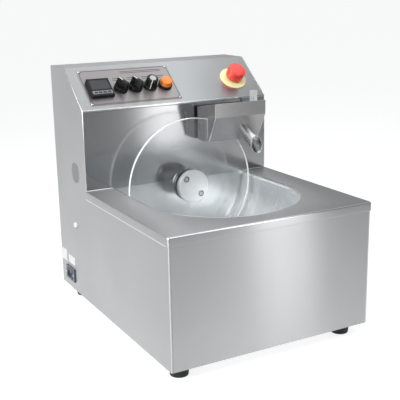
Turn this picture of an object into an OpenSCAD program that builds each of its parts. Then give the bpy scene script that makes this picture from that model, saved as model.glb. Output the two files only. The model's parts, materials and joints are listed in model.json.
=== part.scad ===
// Table-top chocolate melting tank with a turning wheel and a scraper box.
// X runs to the right seen from the front, Y to the back and Z up from the floor.

/* [Cabinet] */
// Width over the side panels
body_w = 430; // [410:1:480]
// Depth from the front panel to the back edge
body_d = 542; // [520:1:620]
// Height of the deck over the underside of the cabinet
deck_h = 245; // [230:1:280]
// Height of the column's top over the deck
column_h = 241; // [235:1:260]
// Depth of the column behind the backsplash
column_d = 176; // [172:1:200]
// Height of the backsplash over the deck
backsplash_h = 163.5; // [158:0.5:168]
// Angle of the control slope from level
slope_angle = 39.5; // [37:0.5:43]
// Thickness of the cabinet sheet
sheet_t = 1.5; // [1:0.1:2]
// Outer radius of the front corner bends
corner_r = 4; // [3:0.5:8]
// Height of the lip round the deck
lip_h = 17; // [12:1:25]
// Gap between the lip and the cabinet
lip_gap = 0.5; // [0.2:0.1:1]
// Width of the inward flanges
flange_w = 15; // [12:1:18]
// Thickness of the back cover
cover_t = 1.2; // [0.8:0.1:2]
// Height of the rubber feet
foot_h = 26; // [20:1:35]
// Radius of a foot at the cabinet
foot_r = 20; // [16:0.5:25]
// Radius of a foot at the floor
foot_floor_r = 17; // [14:0.5:20]
// Distance of the feet from the cabinet's sides
foot_inset_x = 35; // [28:1:60]
// Distance of the feet from the cabinet's front and back
foot_inset_y = 40; // [28:1:80]

/* [Tank] */
// Inner radius of the tank
tank_r = 156.5; // [152:0.5:165]
// Wall of the tank
tank_t = 2; // [1.5:0.1:3]
// Width of the deck in front of the tank
tank_border = 38.5; // [30:0.5:50]
// Thickness of the heater mats
heater_t = 3; // [2:0.5:5]

/* [Wheel] */
// Gap between the wheel's rim and the tank's floor
wheel_clear = 11; // [7:0.5:17]
// Thickness of the wheel disc
wheel_t = 10; // [8:0.5:12]
// Space between the wheel and the backsplash
wheel_gap = 41; // [36:0.5:44]
// Depth of the wheel axis under the deck
wheel_drop = 5; // [0:0.5:7]
// Diameter of the wheel shaft
shaft_d = 16; // [14:0.5:18]
// Diameter of the hub flange and the hub cap
hub_d = 70; // [62:1:78]
// Thickness of the hub cap
cap_t = 10; // [8:0.5:13]
// Thickness of the hub flange
hub_flange_t = 8; // [6:0.5:10]
// Radius at which the hub screws sit
hub_screw_r = 24; // [20:0.5:26]
// Diameter of the hub screws
hub_screw_d = 5; // [4:0.5:6]

/* [Drive] */
// Outer diameter of the shaft bush
bush_d = 26; // [24:0.5:30]
// Length of the bearing housing
housing_l = 30; // [24:1:36]
// Length of the motor standoffs
standoff_l = 55.5; // [50:0.5:58]
// Thickness of the motor plate
motor_plate_t = 5; // [4:0.5:6]
// Depth of the gearbox case
gearbox_d = 33; // [31:0.5:38]
// Wall of the gearbox case
gearbox_wall = 4; // [3:0.5:5]
// Size of a gear tooth, as pitch diameter per tooth
gear_module = 1.25; // [1:0.05:1.3]
// Teeth on the output gear
gear_teeth = 60; // [60:4:64]
// Teeth on the motor pinion
pinion_teeth = 15; // [15:4:19]
// Width of the gears
gear_w = 10; // [8:0.5:12]
// Diameter of the motor shaft
motor_shaft_d = 8; // [6:0.5:9]
// Diameter of the motor
motor_d = 66; // [60:1:70]
// Length of the motor
motor_l = 66; // [55:1:70]

/* [Scraper] */
// Distance of the scraper box from the middle of the machine
box_x = 40; // [38:0.5:46]
// Width of the scraper box
box_w = 122; // [112:0.5:124]
// Height of the scraper box's rim over the deck
box_top = 166; // [160:0.5:172]
// Height of the scraper box's floor over the deck
box_floor = 82; // [78:0.5:86]
// Fall of the scraper box's rim from its front to its back
box_fall = 13; // [8:0.5:16]
// Height of the upright strip on the box's front
box_strip = 29; // [24:0.5:34]
// Distance from the backsplash to the box's back
box_back_gap = 8; // [7:0.5:10]
// Depth of the scraper box at its rim
box_d = 76.4; // [74:0.2:80]
// Depth of the scraper box at its floor
box_floor_d = 46.5; // [45:0.5:48]
// Thickness of the box sheet
box_t = 1.2; // [0.8:0.1:1.5]
// Gap between the box's slot and the wheel
slot_gap = 2; // [1:0.5:3]
// Gap between a scraper blade and the wheel
blade_gap = 0.3; // [0.2:0.1:0.5]
// Outer diameter of the spout
spout_d = 27; // [24:0.5:28]
// Wall of the spout
spout_t = 1.5; // [1:0.1:2]
// Length of the spout along its axis
spout_l = 56; // [45:1:65]
// Slope of the cut across the spout's mouth, which leaves it longer below
spout_cut = 43; // [20:1:45]
// Height of the spout's axis over the deck, where it leaves the box
spout_h = 105.5; // [103:0.5:112]
// Distance of the spout's axis from the box's left side
spout_x = 79.5; // [70:0.5:90]

/* [Controls] */
// Width of the engraved plate
plate_w = 206; // [204:1:210]
// Length of the engraved plate up the slope
plate_l = 99; // [96:1:102]
// Thickness of the engraved plate
plate_t = 0.8; // [0.5:0.1:1.5]
// Distance of the engraved plate from the cabinet's left side
plate_side = 23; // [21:0.5:24]
// Middle of the engraved plate up the slope
plate_s = 60.5; // [60:0.5:62]
// Side of the temperature controller's face
controller_w = 48; // [46:0.5:50]
// Height of the temperature controller's face over the plate
controller_h = 9; // [7:0.5:12]
// Temperature controller's place across, from the plate's middle
controller_at = -70.5; // [-72:0.5:-69]
// Temperature controller's place up the slope
controller_s = 53; // [50:0.5:56]
// Travel of a controller key
key_travel = 0.8; // [0.5:0.1:1]
// Heating switch's place across, from the plate's middle
heat_switch_at = -24.5; // [-25.5:0.5:-23.5]
// Wheel switch's place across, from the plate's middle
wheel_switch_at = 8.5; // [7.5:0.5:9.5]
// Speed knob's place across, from the plate's middle
speed_at = 42.5; // [41.5:0.5:43.5]
// Pilot lamp's place across, from the plate's middle
lamp_at = 77.5; // [76.5:0.5:78.5]
// Place of the switches, knob and lamp up the slope
switch_s = 51.5; // [49:0.5:54]
// Diameter of the switch bezels
bezel_d = 30; // [28:0.5:32]
// Diameter of the panel holes
panel_hole_d = 22; // [21:0.5:23]
// Distance of the emergency stop from the cabinet's right side
stop_side = 56; // [50:1:60]
// Emergency stop's place up the slope
stop_s = 55.7; // [52:0.1:60]
// Diameter of the emergency stop's ring
stop_ring_d = 60; // [56:1:64]
// Diameter of the emergency stop's head
stop_head_d = 40; // [36:1:44]
// Travel of the emergency stop
stop_travel = 4.5; // [3:0.5:5]

/* [Side fittings] */
// Distance of the vent from the back edge
vent_back = 118; // [100:1:130]
// Height of the vent over the deck
vent_h = 28; // [20:1:60]
// Radius of the vent
vent_r = 24; // [18:1:30]
// Spacing of the vent holes
vent_pitch = 5.6; // [5:0.1:7]
// Diameter of the vent holes
vent_hole_d = 3.4; // [2.5:0.1:4]
// Distance of the mains inlet from the back edge
inlet_back = 55; // [45:1:70]
// Height of the mains inlet over the underside of the cabinet
inlet_h = 33; // [30:1:50]
// Distance of the side plug from the back edge
plug_back = 103.5; // [80:0.5:130]
// Height of the side plug over the underside of the cabinet
plug_h = 156; // [120:1:200]
// Diameter of the side plug
plug_d = 13; // [11:0.5:16]

/* [Hidden] */
$fn = 64;

// Clearances
run_fit = 0.05;
seat_fit = 0.1;
loose_fit = 0.3;
cut = 1;

// Main planes
deck_z = foot_h + deck_h;
deck_under = deck_z - sheet_t;
top_z = deck_z + column_h;
front_y = -body_d / 2;
back_y = body_d / 2;
column_y = back_y - column_d;
column_inner_y = column_y + sheet_t;
slope_z = deck_z + backsplash_h;
slope_top_y = column_y + (top_z - slope_z) / tan(slope_angle);
inner_w = body_w - 2 * sheet_t;
tank_y = front_y + tank_border + tank_r;

// Mitre where the slope's sheet meets the backsplash's sheet, on the inside
mitre_z = slope_z - sheet_t * cos(slope_angle)
    + sheet_t * (1 - sin(slope_angle)) * tan(slope_angle);
// Inside of the bend between the slope and the top
bend_y = slope_top_y + sheet_t * tan(slope_angle / 2);

// Wheel and drive along Y
axis_z = deck_z - wheel_drop;
wheel_r = tank_r - (deck_under - axis_z) - wheel_clear;
wheel_back = column_y - wheel_gap;
wheel_front = wheel_back - wheel_t;
cap_front = wheel_front - cap_t;
shaft_r = shaft_d / 2;
plate_front = column_inner_y + standoff_l;
gearbox_front = plate_front + motor_plate_t;
gearbox_back = gearbox_front + gearbox_d;
gear_clear = 4;
gear_front = gearbox_front + gear_clear;
gear_back = gear_front + gear_w;
gear_axis_gap = gear_module * (gear_teeth + pinion_teeth) / 2;
motor_z = axis_z - gear_axis_gap;
tooth_tip = 0.8;
tooth_root = 1.1;
tooth_share = 0.46;
pressure_angle = 20;
gear_tip_r = gear_module * (gear_teeth / 2 + tooth_tip);
pinion_tip_r = gear_module * (pinion_teeth / 2 + tooth_tip);
case_clear = 3;
case_sump = 12;
case_top = axis_z + gear_tip_r + gearbox_wall + case_clear;
case_bottom = motor_z - pinion_tip_r - gearbox_wall - case_sump;
case_half_w = gear_tip_r + gearbox_wall + case_clear;
shaft_boss_l = 10;
shaft_boss_wall = 5;
shaft_end_gap = 1;
cap_skin = 3;

// Scraper box planes
box_back_y = column_y - box_back_gap;
box_front_y = box_back_y - box_d;
box_floor_z = deck_z + box_floor;
box_top_z = deck_z + box_top;
box_strip_z = box_top_z - box_strip;
box_lean = atan((box_d - box_floor_d) / (box_strip_z - box_floor_z));
spout_z = deck_z + spout_h;
spout_y = box_front_y + (box_strip_z - spout_z) * tan(box_lean);
rail_t = 3;
rail_gap = 1.5;
rail_below = 4;
rail_top_z = box_top_z - box_fall - rail_below;
rail_l = 90;

// Rear screws
screw_x = inner_w / 2 - flange_w / 2;
screw_low = 35;
screw_high = 60;
screw_rows = 4;
screw_step = (top_z - foot_h - screw_low - screw_high) / (screw_rows - 1);
cover_screw_d = 4;

// Controls across the machine
plate_x = plate_side + plate_w / 2 - body_w / 2;
controller_x = plate_x + controller_at;
heat_switch_x = plate_x + heat_switch_at;
wheel_switch_x = plate_x + wheel_switch_at;
speed_x = plate_x + speed_at;
lamp_x = plate_x + lamp_at;
stop_x = body_w / 2 - stop_side;

// Emergency stop heights over the slope
stop_ring_t = 2.5;
stop_collar_h = 13;
stop_spare = 0.7;
stop_head_z = stop_ring_t + stop_travel + stop_spare;
stop_head_h = 22;
stop_stem_r = 5;

// A cylinder along Y from y0 to y1
module y_cyl(r, y0, y1, x = 0, z = axis_z) {
    translate([x, y0, z]) rotate([-90, 0, 0]) cylinder(r = r, h = y1 - y0);
}

// Extrudes a drawing of Y and Z across the machine
module across(w) {
    rotate([90, 0, 90]) linear_extrude(w, center = true) children();
}

// Puts a piece on the control slope, with its own Z square to the slope
module on_slope(x, s) {
    translate([x, column_y + s * cos(slope_angle), slope_z + s * sin(slope_angle)])
        rotate([slope_angle, 0, 0]) children();
}

// Puts a piece on the left side panel, with its own Z outwards and its own X up
module on_left(from_back, z) {
    translate([-body_w / 2, back_y - from_back, z]) rotate([0, -90, 0]) children();
}

// A block centred in X and Y that starts at z0
module block(size, z0 = 0) {
    translate([-size[0] / 2, -size[1] / 2, z0]) cube(size);
}

// A cylinder that starts at z0 and ends at z1
module rod(r, z0, z1) {
    translate([0, 0, z0]) cylinder(r = r, h = z1 - z0);
}

// Outline of a side panel seen from the side
module side_profile() {
    polygon([[front_y, foot_h], [back_y, foot_h], [back_y, top_z], [slope_top_y, top_z],
        [column_y, slope_z], [column_y, deck_under], [front_y, deck_under]]);
}

// Plan of the left side panel: the front bend, the flat and the rear flange
module side_plan() {
    translate([-body_w / 2, front_y + corner_r]) square([sheet_t, body_d - corner_r]);
    translate([-body_w / 2, back_y - sheet_t]) square([sheet_t + flange_w, sheet_t]);
    intersection() {
        translate([-body_w / 2 + corner_r, front_y + corner_r]) difference() {
            circle(corner_r);
            circle(corner_r - sheet_t);
        }
        translate([-body_w / 2, front_y]) square(corner_r);
    }
}

module vent_holes() {
    rows = ceil(vent_r / vent_pitch) + 1;
    on_left(vent_back, deck_z + vent_h)
        for (i = [-2 * rows : 2 * rows], j = [-rows : rows])
            let (u = vent_pitch * (i + j / 2), v = vent_pitch * j * sqrt(3) / 2)
                if (norm([u, v]) < vent_r - vent_hole_d / 2)
                    translate([u, v, 0]) rod(vent_hole_d / 2, -sheet_t - cut, cut);
}

module rear_screw_places() {
    for (x = [-screw_x, screw_x], i = [0 : screw_rows - 1])
        translate([x, back_y, foot_h + screw_low + i * screw_step]) rotate([-90, 0, 0]) children();
}

// A side panel without its fittings, on the left
module plain_side() {
    difference() {
        intersection() {
            linear_extrude(top_z + cut) side_plan();
            across(body_w + 2 * cut) side_profile();
        }
        translate([-inner_w / 2, back_y - sheet_t - cut, top_z - flange_w - loose_fit])
            cube([flange_w + cut, sheet_t + 2 * cut, flange_w + 2 * cut]);
        vent_holes();
        rear_screw_places() rod(cover_screw_d / 2 + seat_fit, -sheet_t - cut, cut);
    }
}

inlet_flange = [30, 48, 3];
inlet_body = [22, 28, 21];
inlet_recess = [16.6, 24.4, 16];
inlet_collar = 5;
inlet_pin = [4, 2, 30];
inlet_pin_tip = 1.5;
inlet_pin_places = [[-3, -7], [-3, 7], [3, 0]];
plug_stem_r = 4;

module left_side_panel() {
    color("silver") difference() {
        plain_side();
        on_left(inlet_back, foot_h + inlet_h)
            block([inlet_body[0] + 2 * seat_fit, inlet_body[1] + 2 * seat_fit, 4 * sheet_t],
                -2 * sheet_t);
        on_left(plug_back, foot_h + plug_h) rod(plug_stem_r + seat_fit, -2 * sheet_t, 2 * sheet_t);
    }
}

module right_side_panel() {
    color("silver") mirror([1, 0, 0]) plain_side();
}

module front_panel() {
    color("silver") translate([-body_w / 2 + corner_r, front_y, foot_h])
        cube([body_w - 2 * corner_r, sheet_t, deck_under - foot_h]);
}

module foot_places() {
    for (x = [-1, 1], y = [-1, 1])
        translate([x * (body_w / 2 - foot_inset_x), y * (body_d / 2 - foot_inset_y), 0]) children();
}

foot_screw_r = 2.5;
air_slot = [90, 6];
air_slot_back = 131;
air_slot_step = 24;

module base_plate() {
    flange_l = body_d - corner_r - sheet_t;
    color("lightgray") difference() {
        union() {
            translate([-inner_w / 2, front_y + corner_r, foot_h]) cube([inner_w, flange_l, sheet_t]);
            translate([-body_w / 2 + corner_r, front_y + sheet_t, foot_h])
                cube([body_w - 2 * corner_r, corner_r, sheet_t]);
            for (x = [-inner_w / 2, inner_w / 2 - sheet_t])
                translate([x, front_y + corner_r, foot_h]) cube([sheet_t, flange_l, flange_w]);
        }
        foot_places() rod(foot_screw_r + seat_fit, foot_h - cut, foot_h + sheet_t + cut);
        for (i = [-3 : 3])
            translate([-air_slot[0] / 2, back_y - air_slot_back + i * air_slot_step, foot_h - cut])
                cube([air_slot[0], air_slot[1], sheet_t + 2 * cut]);
    }
}

louvre = [70, 5];
louvre_rows = 8;
louvre_x = 52.5;
louvre_step = 13;

module back_cover() {
    margin = 1;
    color("gainsboro") difference() {
        translate([-body_w / 2 + margin, back_y, foot_h + margin])
            cube([body_w - 2 * margin, cover_t, top_z - foot_h - 2 * margin]);
        rear_screw_places() rod(cover_screw_d / 2 + seat_fit, -cut, cover_t + cut);
        for (x = [-louvre_x, louvre_x], i = [0 : louvre_rows - 1])
            translate([x - louvre[0] / 2, back_y - cut, deck_z + i * louvre_step])
                cube([louvre[0], cover_t + 2 * cut, louvre[1]]);
    }
}

module back_cover_screws() {
    tail = 6;
    head_h = 1.6;
    color("dimgray") rear_screw_places() {
        rod(cover_screw_d / 2, -sheet_t - tail, cover_t);
        rod(cover_screw_d, cover_t, cover_t + head_h);
    }
}

// Plan of the cabinet grown outwards, with its two front corners round
module lip_plan(grow) {
    half = body_w / 2 + grow;
    front = front_y - grow;
    r = corner_r + grow;
    translate([-half, front + r]) square([2 * half, column_y - front - r]);
    translate([-half + r, front]) square([2 * (half - r), r]);
    for (x = [-half + r, half - r])
        translate([x, front + r]) circle(r);
}

module deck_tray() {
    color("silver") difference() {
        translate([0, 0, deck_z - lip_h]) linear_extrude(lip_h) lip_plan(lip_gap + sheet_t);
        translate([0, 0, deck_z - lip_h - cut]) linear_extrude(lip_h - sheet_t + cut) union() {
            lip_plan(lip_gap);
            translate([-body_w / 2 - lip_gap, column_y - cut]) square([body_w + 2 * lip_gap, 2 * cut]);
        }
        translate([0, tank_y, deck_under - cut]) cylinder(r = tank_r, h = sheet_t + 2 * cut);
        translate([-tank_r, tank_y, deck_under - cut])
            cube([2 * tank_r, column_y - tank_y + cut, sheet_t + 2 * cut]);
    }
}

// Half a turn about the tank's own axis, below the deck
module tank_turn(angle = 180, start = 0) {
    translate([0, 0, deck_under]) rotate([-90, 0, 0]) rotate([0, 0, start])
        rotate_extrude(angle = angle) children();
}

module tank_bowl() {
    color("gainsboro") tank_turn() {
        translate([tank_r, tank_y]) square([tank_t, column_y - tank_y]);
        intersection() {
            translate([0, tank_y]) difference() {
                circle(tank_r + tank_t);
                circle(tank_r);
            }
            translate([0, tank_y - 2 * tank_r]) square(2 * tank_r);
        }
    }
}

module backsplash() {
    color("darkgray") difference() {
        union() {
            across(inner_w) polygon([[column_y, deck_z - lip_h], [column_inner_y, deck_z - lip_h],
                [column_inner_y, mitre_z], [column_y, slope_z]]);
            intersection() {
                y_cyl(tank_r + tank_t, column_y, column_inner_y, z = deck_under);
                translate([-body_w / 2, column_y - cut, foot_h])
                    cube([body_w, sheet_t + 2 * cut, deck_under - foot_h]);
            }
        }
        y_cyl(shaft_r + cut, column_y - cut, column_inner_y + cut);
    }
}

controller_body = [44, 44, 70];
pot_bush_r = 4.5;
hole_reach = 10;

module panel_hole(x, s, r = panel_hole_d / 2) {
    on_slope(x, s) rod(r, -hole_reach, hole_reach);
}

// Holes for every control, through the slope and the engraved plate
module control_holes() {
    on_slope(controller_x, controller_s)
        block([controller_body[0] + 2 * seat_fit, controller_body[1] + 2 * seat_fit, 2 * hole_reach],
            -hole_reach);
    for (x = [heat_switch_x, wheel_switch_x, lamp_x])
        panel_hole(x, switch_s);
    panel_hole(speed_x, switch_s, pot_bush_r + seat_fit);
    panel_hole(stop_x, stop_s);
    plate_screw_places() rod(plate_screw_r + seat_fit, -hole_reach, hole_reach);
}

module control_fascia() {
    color("silver") difference() {
        across(inner_w) polygon([[column_y, slope_z], [slope_top_y, top_z], [back_y, top_z],
            [back_y, top_z - flange_w], [back_y - sheet_t, top_z - flange_w],
            [back_y - sheet_t, top_z - sheet_t], [bend_y, top_z - sheet_t],
            [column_inner_y, mitre_z]]);
        control_holes();
    }
}

foot_bore_d = 12;
foot_seat = 8;

module rubber_feet() {
    color("black") foot_places() difference() {
        cylinder(r1 = foot_floor_r, r2 = foot_r, h = foot_h);
        rod(foot_screw_r + seat_fit, -cut, foot_h + cut);
        rod(foot_bore_d / 2, -cut, foot_h - foot_seat);
    }
}

module foot_screws() {
    head_h = 3;
    nut_h = 4;
    nut_r = 4.5;
    tail = 2;
    color("dimgray") foot_places() {
        rod(foot_screw_r, foot_h - foot_seat, foot_h + sheet_t + nut_h + tail);
        rod(2 * foot_screw_r, foot_h - foot_seat - head_h, foot_h - foot_seat);
        rod(nut_r, foot_h + sheet_t, foot_h + sheet_t + nut_h);
    }
}

module heater_mats() {
    mat_r = tank_r + tank_t + loose_fit;
    mat_end = 15;
    mat_angle = 50;
    mat_l = column_y - tank_y - 2 * mat_end;
    color("orangered") for (start = [20, 160 - mat_angle])
        tank_turn(angle = mat_angle, start = start)
            translate([mat_r, tank_y + mat_end]) square([heater_t, mat_l]);
}

sensor_x = 85;
sensor_drop = 66;

// Probe in its saddle, on the back of the tank's end wall
module temperature_probe() {
    saddle = [16, 10, 30];
    probe_r = 3;
    probe_tail = 10;
    color("gray") translate([-sensor_x, column_inner_y, axis_z - sensor_drop]) {
        translate([-saddle[0] / 2, 0, 0]) cube(saddle);
        translate([0, saddle[1] / 2, 0]) rod(probe_r, -probe_tail, saddle[2] + probe_tail);
    }
}

module thermal_cutout() {
    ears = [30, 1.5, 12];
    can_r = 8;
    can_l = 11;
    z = axis_z - sensor_drop;
    color("tan") {
        y_cyl(can_r, column_inner_y, column_inner_y + can_l, x = sensor_x, z = z);
        translate([sensor_x - ears[0] / 2, column_inner_y, z - ears[2] / 2]) cube(ears);
    }
}

module bearing_housing() {
    flange_r = 32;
    flange_t = 8;
    boss_wall = 9;
    boss_r = bush_d / 2 + boss_wall;
    color("slategray") difference() {
        union() {
            y_cyl(flange_r, column_inner_y, column_inner_y + flange_t);
            y_cyl(boss_r, column_inner_y, column_inner_y + housing_l);
        }
        y_cyl(bush_d / 2 + run_fit, column_inner_y - cut, column_inner_y + housing_l + cut);
    }
}

module shaft_bush() {
    color("peru") difference() {
        y_cyl(bush_d / 2, column_inner_y, column_inner_y + housing_l);
        y_cyl(shaft_r + run_fit, column_inner_y - cut, column_inner_y + housing_l + cut);
    }
}

module shaft_seal() {
    seal_w = 9;
    seal_r = shaft_r + seal_w;
    seal_l = 5;
    color("white") difference() {
        y_cyl(seal_r, column_y - seal_l, column_y);
        y_cyl(shaft_r + run_fit, column_y - seal_l - cut, column_y + cut);
    }
}

standoff_r = 6;
standoff_x = case_half_w - standoff_r;
plate_top_z = case_top + 2 * standoff_r;
plate_bottom_z = case_bottom - 2 * standoff_r;

module motor_standoffs() {
    color("lightgray") for (x = [-standoff_x, standoff_x],
            z = [plate_bottom_z + standoff_r, plate_top_z - standoff_r])
        y_cyl(standoff_r, column_inner_y, plate_front, x = x, z = z);
}

module motor_plate() {
    color("gray") difference() {
        translate([-case_half_w, plate_front, plate_bottom_z])
            cube([2 * case_half_w, motor_plate_t, plate_top_z - plate_bottom_z]);
        y_cyl(shaft_r + cut, plate_front - cut, gearbox_front + cut);
    }
}

module gearbox_case() {
    inner_back = gearbox_back - gearbox_wall;
    color("dimgray") difference() {
        translate([-case_half_w, gearbox_front, case_bottom])
            cube([2 * case_half_w, gearbox_d, case_top - case_bottom]);
        difference() {
            translate([-case_half_w + gearbox_wall, gearbox_front - cut, case_bottom + gearbox_wall])
                cube([2 * (case_half_w - gearbox_wall), gearbox_d - gearbox_wall + cut,
                    case_top - case_bottom - 2 * gearbox_wall]);
            y_cyl(shaft_r + shaft_boss_wall, inner_back - shaft_boss_l, gearbox_back);
        }
        y_cyl(shaft_r + run_fit, inner_back - shaft_boss_l - cut, inner_back);
        y_cyl(motor_shaft_d / 2 + run_fit, inner_back - cut, gearbox_back + cut, z = motor_z);
    }
}

motor_shaft_hold = 25;

module drive_motor() {
    cap_l = 10;
    cap_step = 4;
    color("slategray") difference() {
        union() {
            y_cyl(motor_d / 2, gearbox_back, gearbox_back + motor_l - cap_l, z = motor_z);
            y_cyl(motor_d / 2 - cap_step, gearbox_back, gearbox_back + motor_l, z = motor_z);
        }
        y_cyl(motor_shaft_d / 2 + run_fit, gearbox_back - cut, gearbox_back + motor_shaft_hold,
            z = motor_z);
    }
}

// Angle of an involute curve, in degrees, at radius r over its base circle
function involute(base, r) = let (a = acos(min(1, base / r))) tan(a) * 180 / PI - a;

// Outline of a spur gear with a tooth in the middle of its +X side
module gear_outline(teeth) {
    pitch_r = gear_module * teeth / 2;
    base_r = pitch_r * cos(pressure_angle);
    root_r = pitch_r - tooth_root * gear_module;
    tip_r = pitch_r + tooth_tip * gear_module;
    half = 180 * tooth_share / teeth + involute(base_r, pitch_r);
    low_r = max(base_r, root_r);
    flank = [for (r = [low_r, (low_r + pitch_r) / 2, pitch_r, tip_r]) [r, half - involute(base_r, r)]];
    sides = concat([[root_r, flank[0][1]]], flank);
    n = len(sides);
    polygon([for (i = [0 : teeth - 1], k = [0 : 2 * n - 1])
        let (p = k < n ? sides[k] : sides[2 * n - 1 - k], a = i * 360 / teeth + (k < n ? -p[1] : p[1]))
            p[0] * [cos(a), sin(a)]]);
}

// A gear standing across Y between the two gear faces
module spur_gear(teeth, z, turn) {
    translate([0, gear_back, z]) rotate([90, 0, 0]) rotate([0, 0, turn])
        linear_extrude(gear_w) gear_outline(teeth);
}

module output_gear() {
    color("goldenrod") difference() {
        spur_gear(gear_teeth, axis_z, -90);
        y_cyl(shaft_r + run_fit, gear_front - cut, gear_back + cut);
    }
}

module motor_pinion() {
    color("lightsteelblue") union() {
        spur_gear(pinion_teeth, motor_z, 90 + 180 / pinion_teeth);
        y_cyl(motor_shaft_d / 2, gear_front - shaft_end_gap,
            gearbox_back + motor_shaft_hold - shaft_end_gap, z = motor_z);
    }
}

module wheel_shaft() {
    color("lightgray") y_cyl(shaft_r, cap_front + cap_skin,
        gearbox_back - gearbox_wall - shaft_end_gap);
}

module hub_screw_places() {
    for (a = [-45, 135])
        translate([hub_screw_r * cos(a), cap_front, axis_z + hub_screw_r * sin(a)])
            rotate([-90, 0, 0]) children();
}

hub_stack = cap_t + wheel_t + hub_flange_t;
hub_screw_head_h = 3;

module hub_screw_holes() {
    hub_screw_places() rod(hub_screw_d / 2 + seat_fit, -cut, hub_stack + cut);
}

module wheel_disc() {
    color("aliceblue", 0.4) difference() {
        y_cyl(wheel_r, wheel_front, wheel_back);
        y_cyl(shaft_r + run_fit, wheel_front - cut, wheel_back + cut);
        hub_screw_holes();
    }
}

module hub_flange() {
    boss_l = 10;
    boss_wall = 8;
    color("lightgray") difference() {
        union() {
            y_cyl(hub_d / 2, wheel_back, wheel_back + hub_flange_t);
            y_cyl(shaft_r + boss_wall, wheel_back, wheel_back + hub_flange_t + boss_l);
        }
        y_cyl(shaft_r + run_fit, wheel_back - cut, wheel_back + hub_flange_t + boss_l + cut);
        hub_screw_holes();
    }
}

module hub_cap() {
    edge = 2;
    color("whitesmoke") difference() {
        translate([0, wheel_front, axis_z]) rotate([90, 0, 0]) {
            rod(hub_d / 2, 0, cap_t - edge);
            translate([0, 0, cap_t - edge]) cylinder(r1 = hub_d / 2, r2 = hub_d / 2 - edge, h = edge);
        }
        y_cyl(shaft_r + run_fit, cap_front + cap_skin, wheel_front + cut);
        hub_screw_holes();
        hub_screw_places() rod(hub_screw_d + seat_fit, -cut, hub_screw_head_h);
    }
}

module hub_screws() {
    socket_d = 4;
    socket_depth = 2.5;
    sunk = 0.2;
    color("gray") hub_screw_places() difference() {
        union() {
            rod(hub_screw_d / 2, 0, hub_stack);
            rod(hub_screw_d, sunk, hub_screw_head_h);
        }
        translate([0, 0, -cut]) cylinder(d = socket_d, h = socket_depth + cut, $fn = 6);
    }
}

// Outline of the scraper box seen from the side, moved inwards by t, with its rim raised
module box_profile(t, raise = 0) {
    slack = t / cos(box_lean);
    front_z = box_strip_z + (slack - t) / tan(box_lean);
    low_z = box_floor_z + t;
    low_y = box_front_y + (box_strip_z - low_z) * tan(box_lean) + slack;
    polygon([[box_front_y + t, box_top_z + raise], [box_front_y + t, front_z], [low_y, low_z],
        [box_back_y - t, low_z], [box_back_y - t, box_top_z - box_fall + raise]]);
}

module box_across(x0, x1) {
    translate([(x0 + x1) / 2, 0, 0]) across(x1 - x0) children();
}

// Puts a piece on the box's leaning front, with its own Z outwards along the spout
module at_spout() {
    translate([box_x + spout_x, spout_y, spout_z]) rotate([90 + box_lean, 0, 0]) children();
}

tab = [8.5, 15.5, 16];
tab_below = 40;
tab_back = 15.5;
hook_drop = 14;
rail_foot = 16;

module scraper_box() {
    right = box_x + box_w;
    hook_y = box_back_y + rail_gap + rail_t + rail_gap;
    color("silver") difference() {
        union() {
            difference() {
                box_across(box_x, right) box_profile(0);
                box_across(box_x + box_t, right - box_t) box_profile(box_t, cut);
            }
            translate([right - box_t, box_back_y - tab_back - tab[1], box_top_z - tab_below])
                cube([tab[0] + box_t, tab[1], tab_below + tab[2]]);
            translate([box_x + (box_w - rail_l) / 2, box_back_y - box_t, rail_top_z + loose_fit])
                cube([rail_l, hook_y - box_back_y + 2 * box_t, box_t]);
            translate([box_x + (box_w - rail_l) / 2, hook_y, rail_top_z - hook_drop])
                cube([rail_l, box_t, hook_drop + loose_fit + box_t]);
        }
        y_cyl(wheel_r + slot_gap, wheel_front - slot_gap, wheel_back + slot_gap);
        at_spout() rod(spout_d / 2 - spout_t, -4 * box_t, cut);
    }
}

module pour_spout() {
    uncut_l = spout_l + spout_d;
    color("lightgray") at_spout() difference() {
        rod(spout_d / 2, 0, uncut_l);
        rod(spout_d / 2 - spout_t, -cut, uncut_l + cut);
        translate([0, 0, spout_l]) rotate([-spout_cut, 0, 0])
            translate([-spout_d, -2 * spout_d, 0]) cube([2 * spout_d, 4 * spout_d, 2 * spout_d]);
    }
}

// Two plastic blades inside the box's left wall, one on each face of the wheel
module scraper_blades() {
    blade_t = 3;
    blade_l = 14;
    blade_h = sqrt(wheel_r * wheel_r - box_x * box_x) + axis_z - box_floor_z;
    left = box_x + box_t;
    color("white") intersection() {
        for (y = [wheel_front - blade_gap - blade_l, wheel_back + blade_gap])
            translate([left, y, box_floor_z]) cube([blade_t, blade_l, blade_h]);
        box_across(left, left + blade_t) box_profile(box_t + loose_fit);
    }
}

module hanger_rail() {
    spacer = [14, column_y - box_back_y - rail_gap, 10];
    rail_y = box_back_y + rail_gap;
    rail_x = box_x + (box_w - rail_l) / 2;
    rail_h = hook_drop + rail_foot;
    color("lightgray") {
        translate([rail_x, rail_y, rail_top_z - rail_h]) cube([rail_l, rail_t, rail_h]);
        for (x = [rail_x, rail_x + rail_l - spacer[0]])
            translate([x, rail_y, rail_top_z - rail_h]) cube(spacer);
    }
}

electrics_back = 66;
electrics_side = 93.5;
terminal_x = electrics_side - inner_w / 2;
relay_x = 20;
board_x = inner_w / 2 - electrics_side;
block_ways = 6;
block_pitch = 11;

// Puts a piece on the base plate, near the back cover
module on_base(x) {
    translate([x, back_y - electrics_back, foot_h + sheet_t]) children();
}

module terminal_block() {
    length = block_ways * block_pitch + 8;
    foot = [22, 12];
    ridge = [10, 20];
    screw_floor = 8;
    screw_r = 2.5;
    color("ivory") on_base(terminal_x) difference() {
        union() {
            block([length, foot[0], foot[1]]);
            block([length, ridge[0], ridge[1]]);
        }
        for (i = [0 : block_ways - 1])
            translate([(i - (block_ways - 1) / 2) * block_pitch, 0, 0])
                rod(screw_r, screw_floor, ridge[1] + cut);
    }
}

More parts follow.
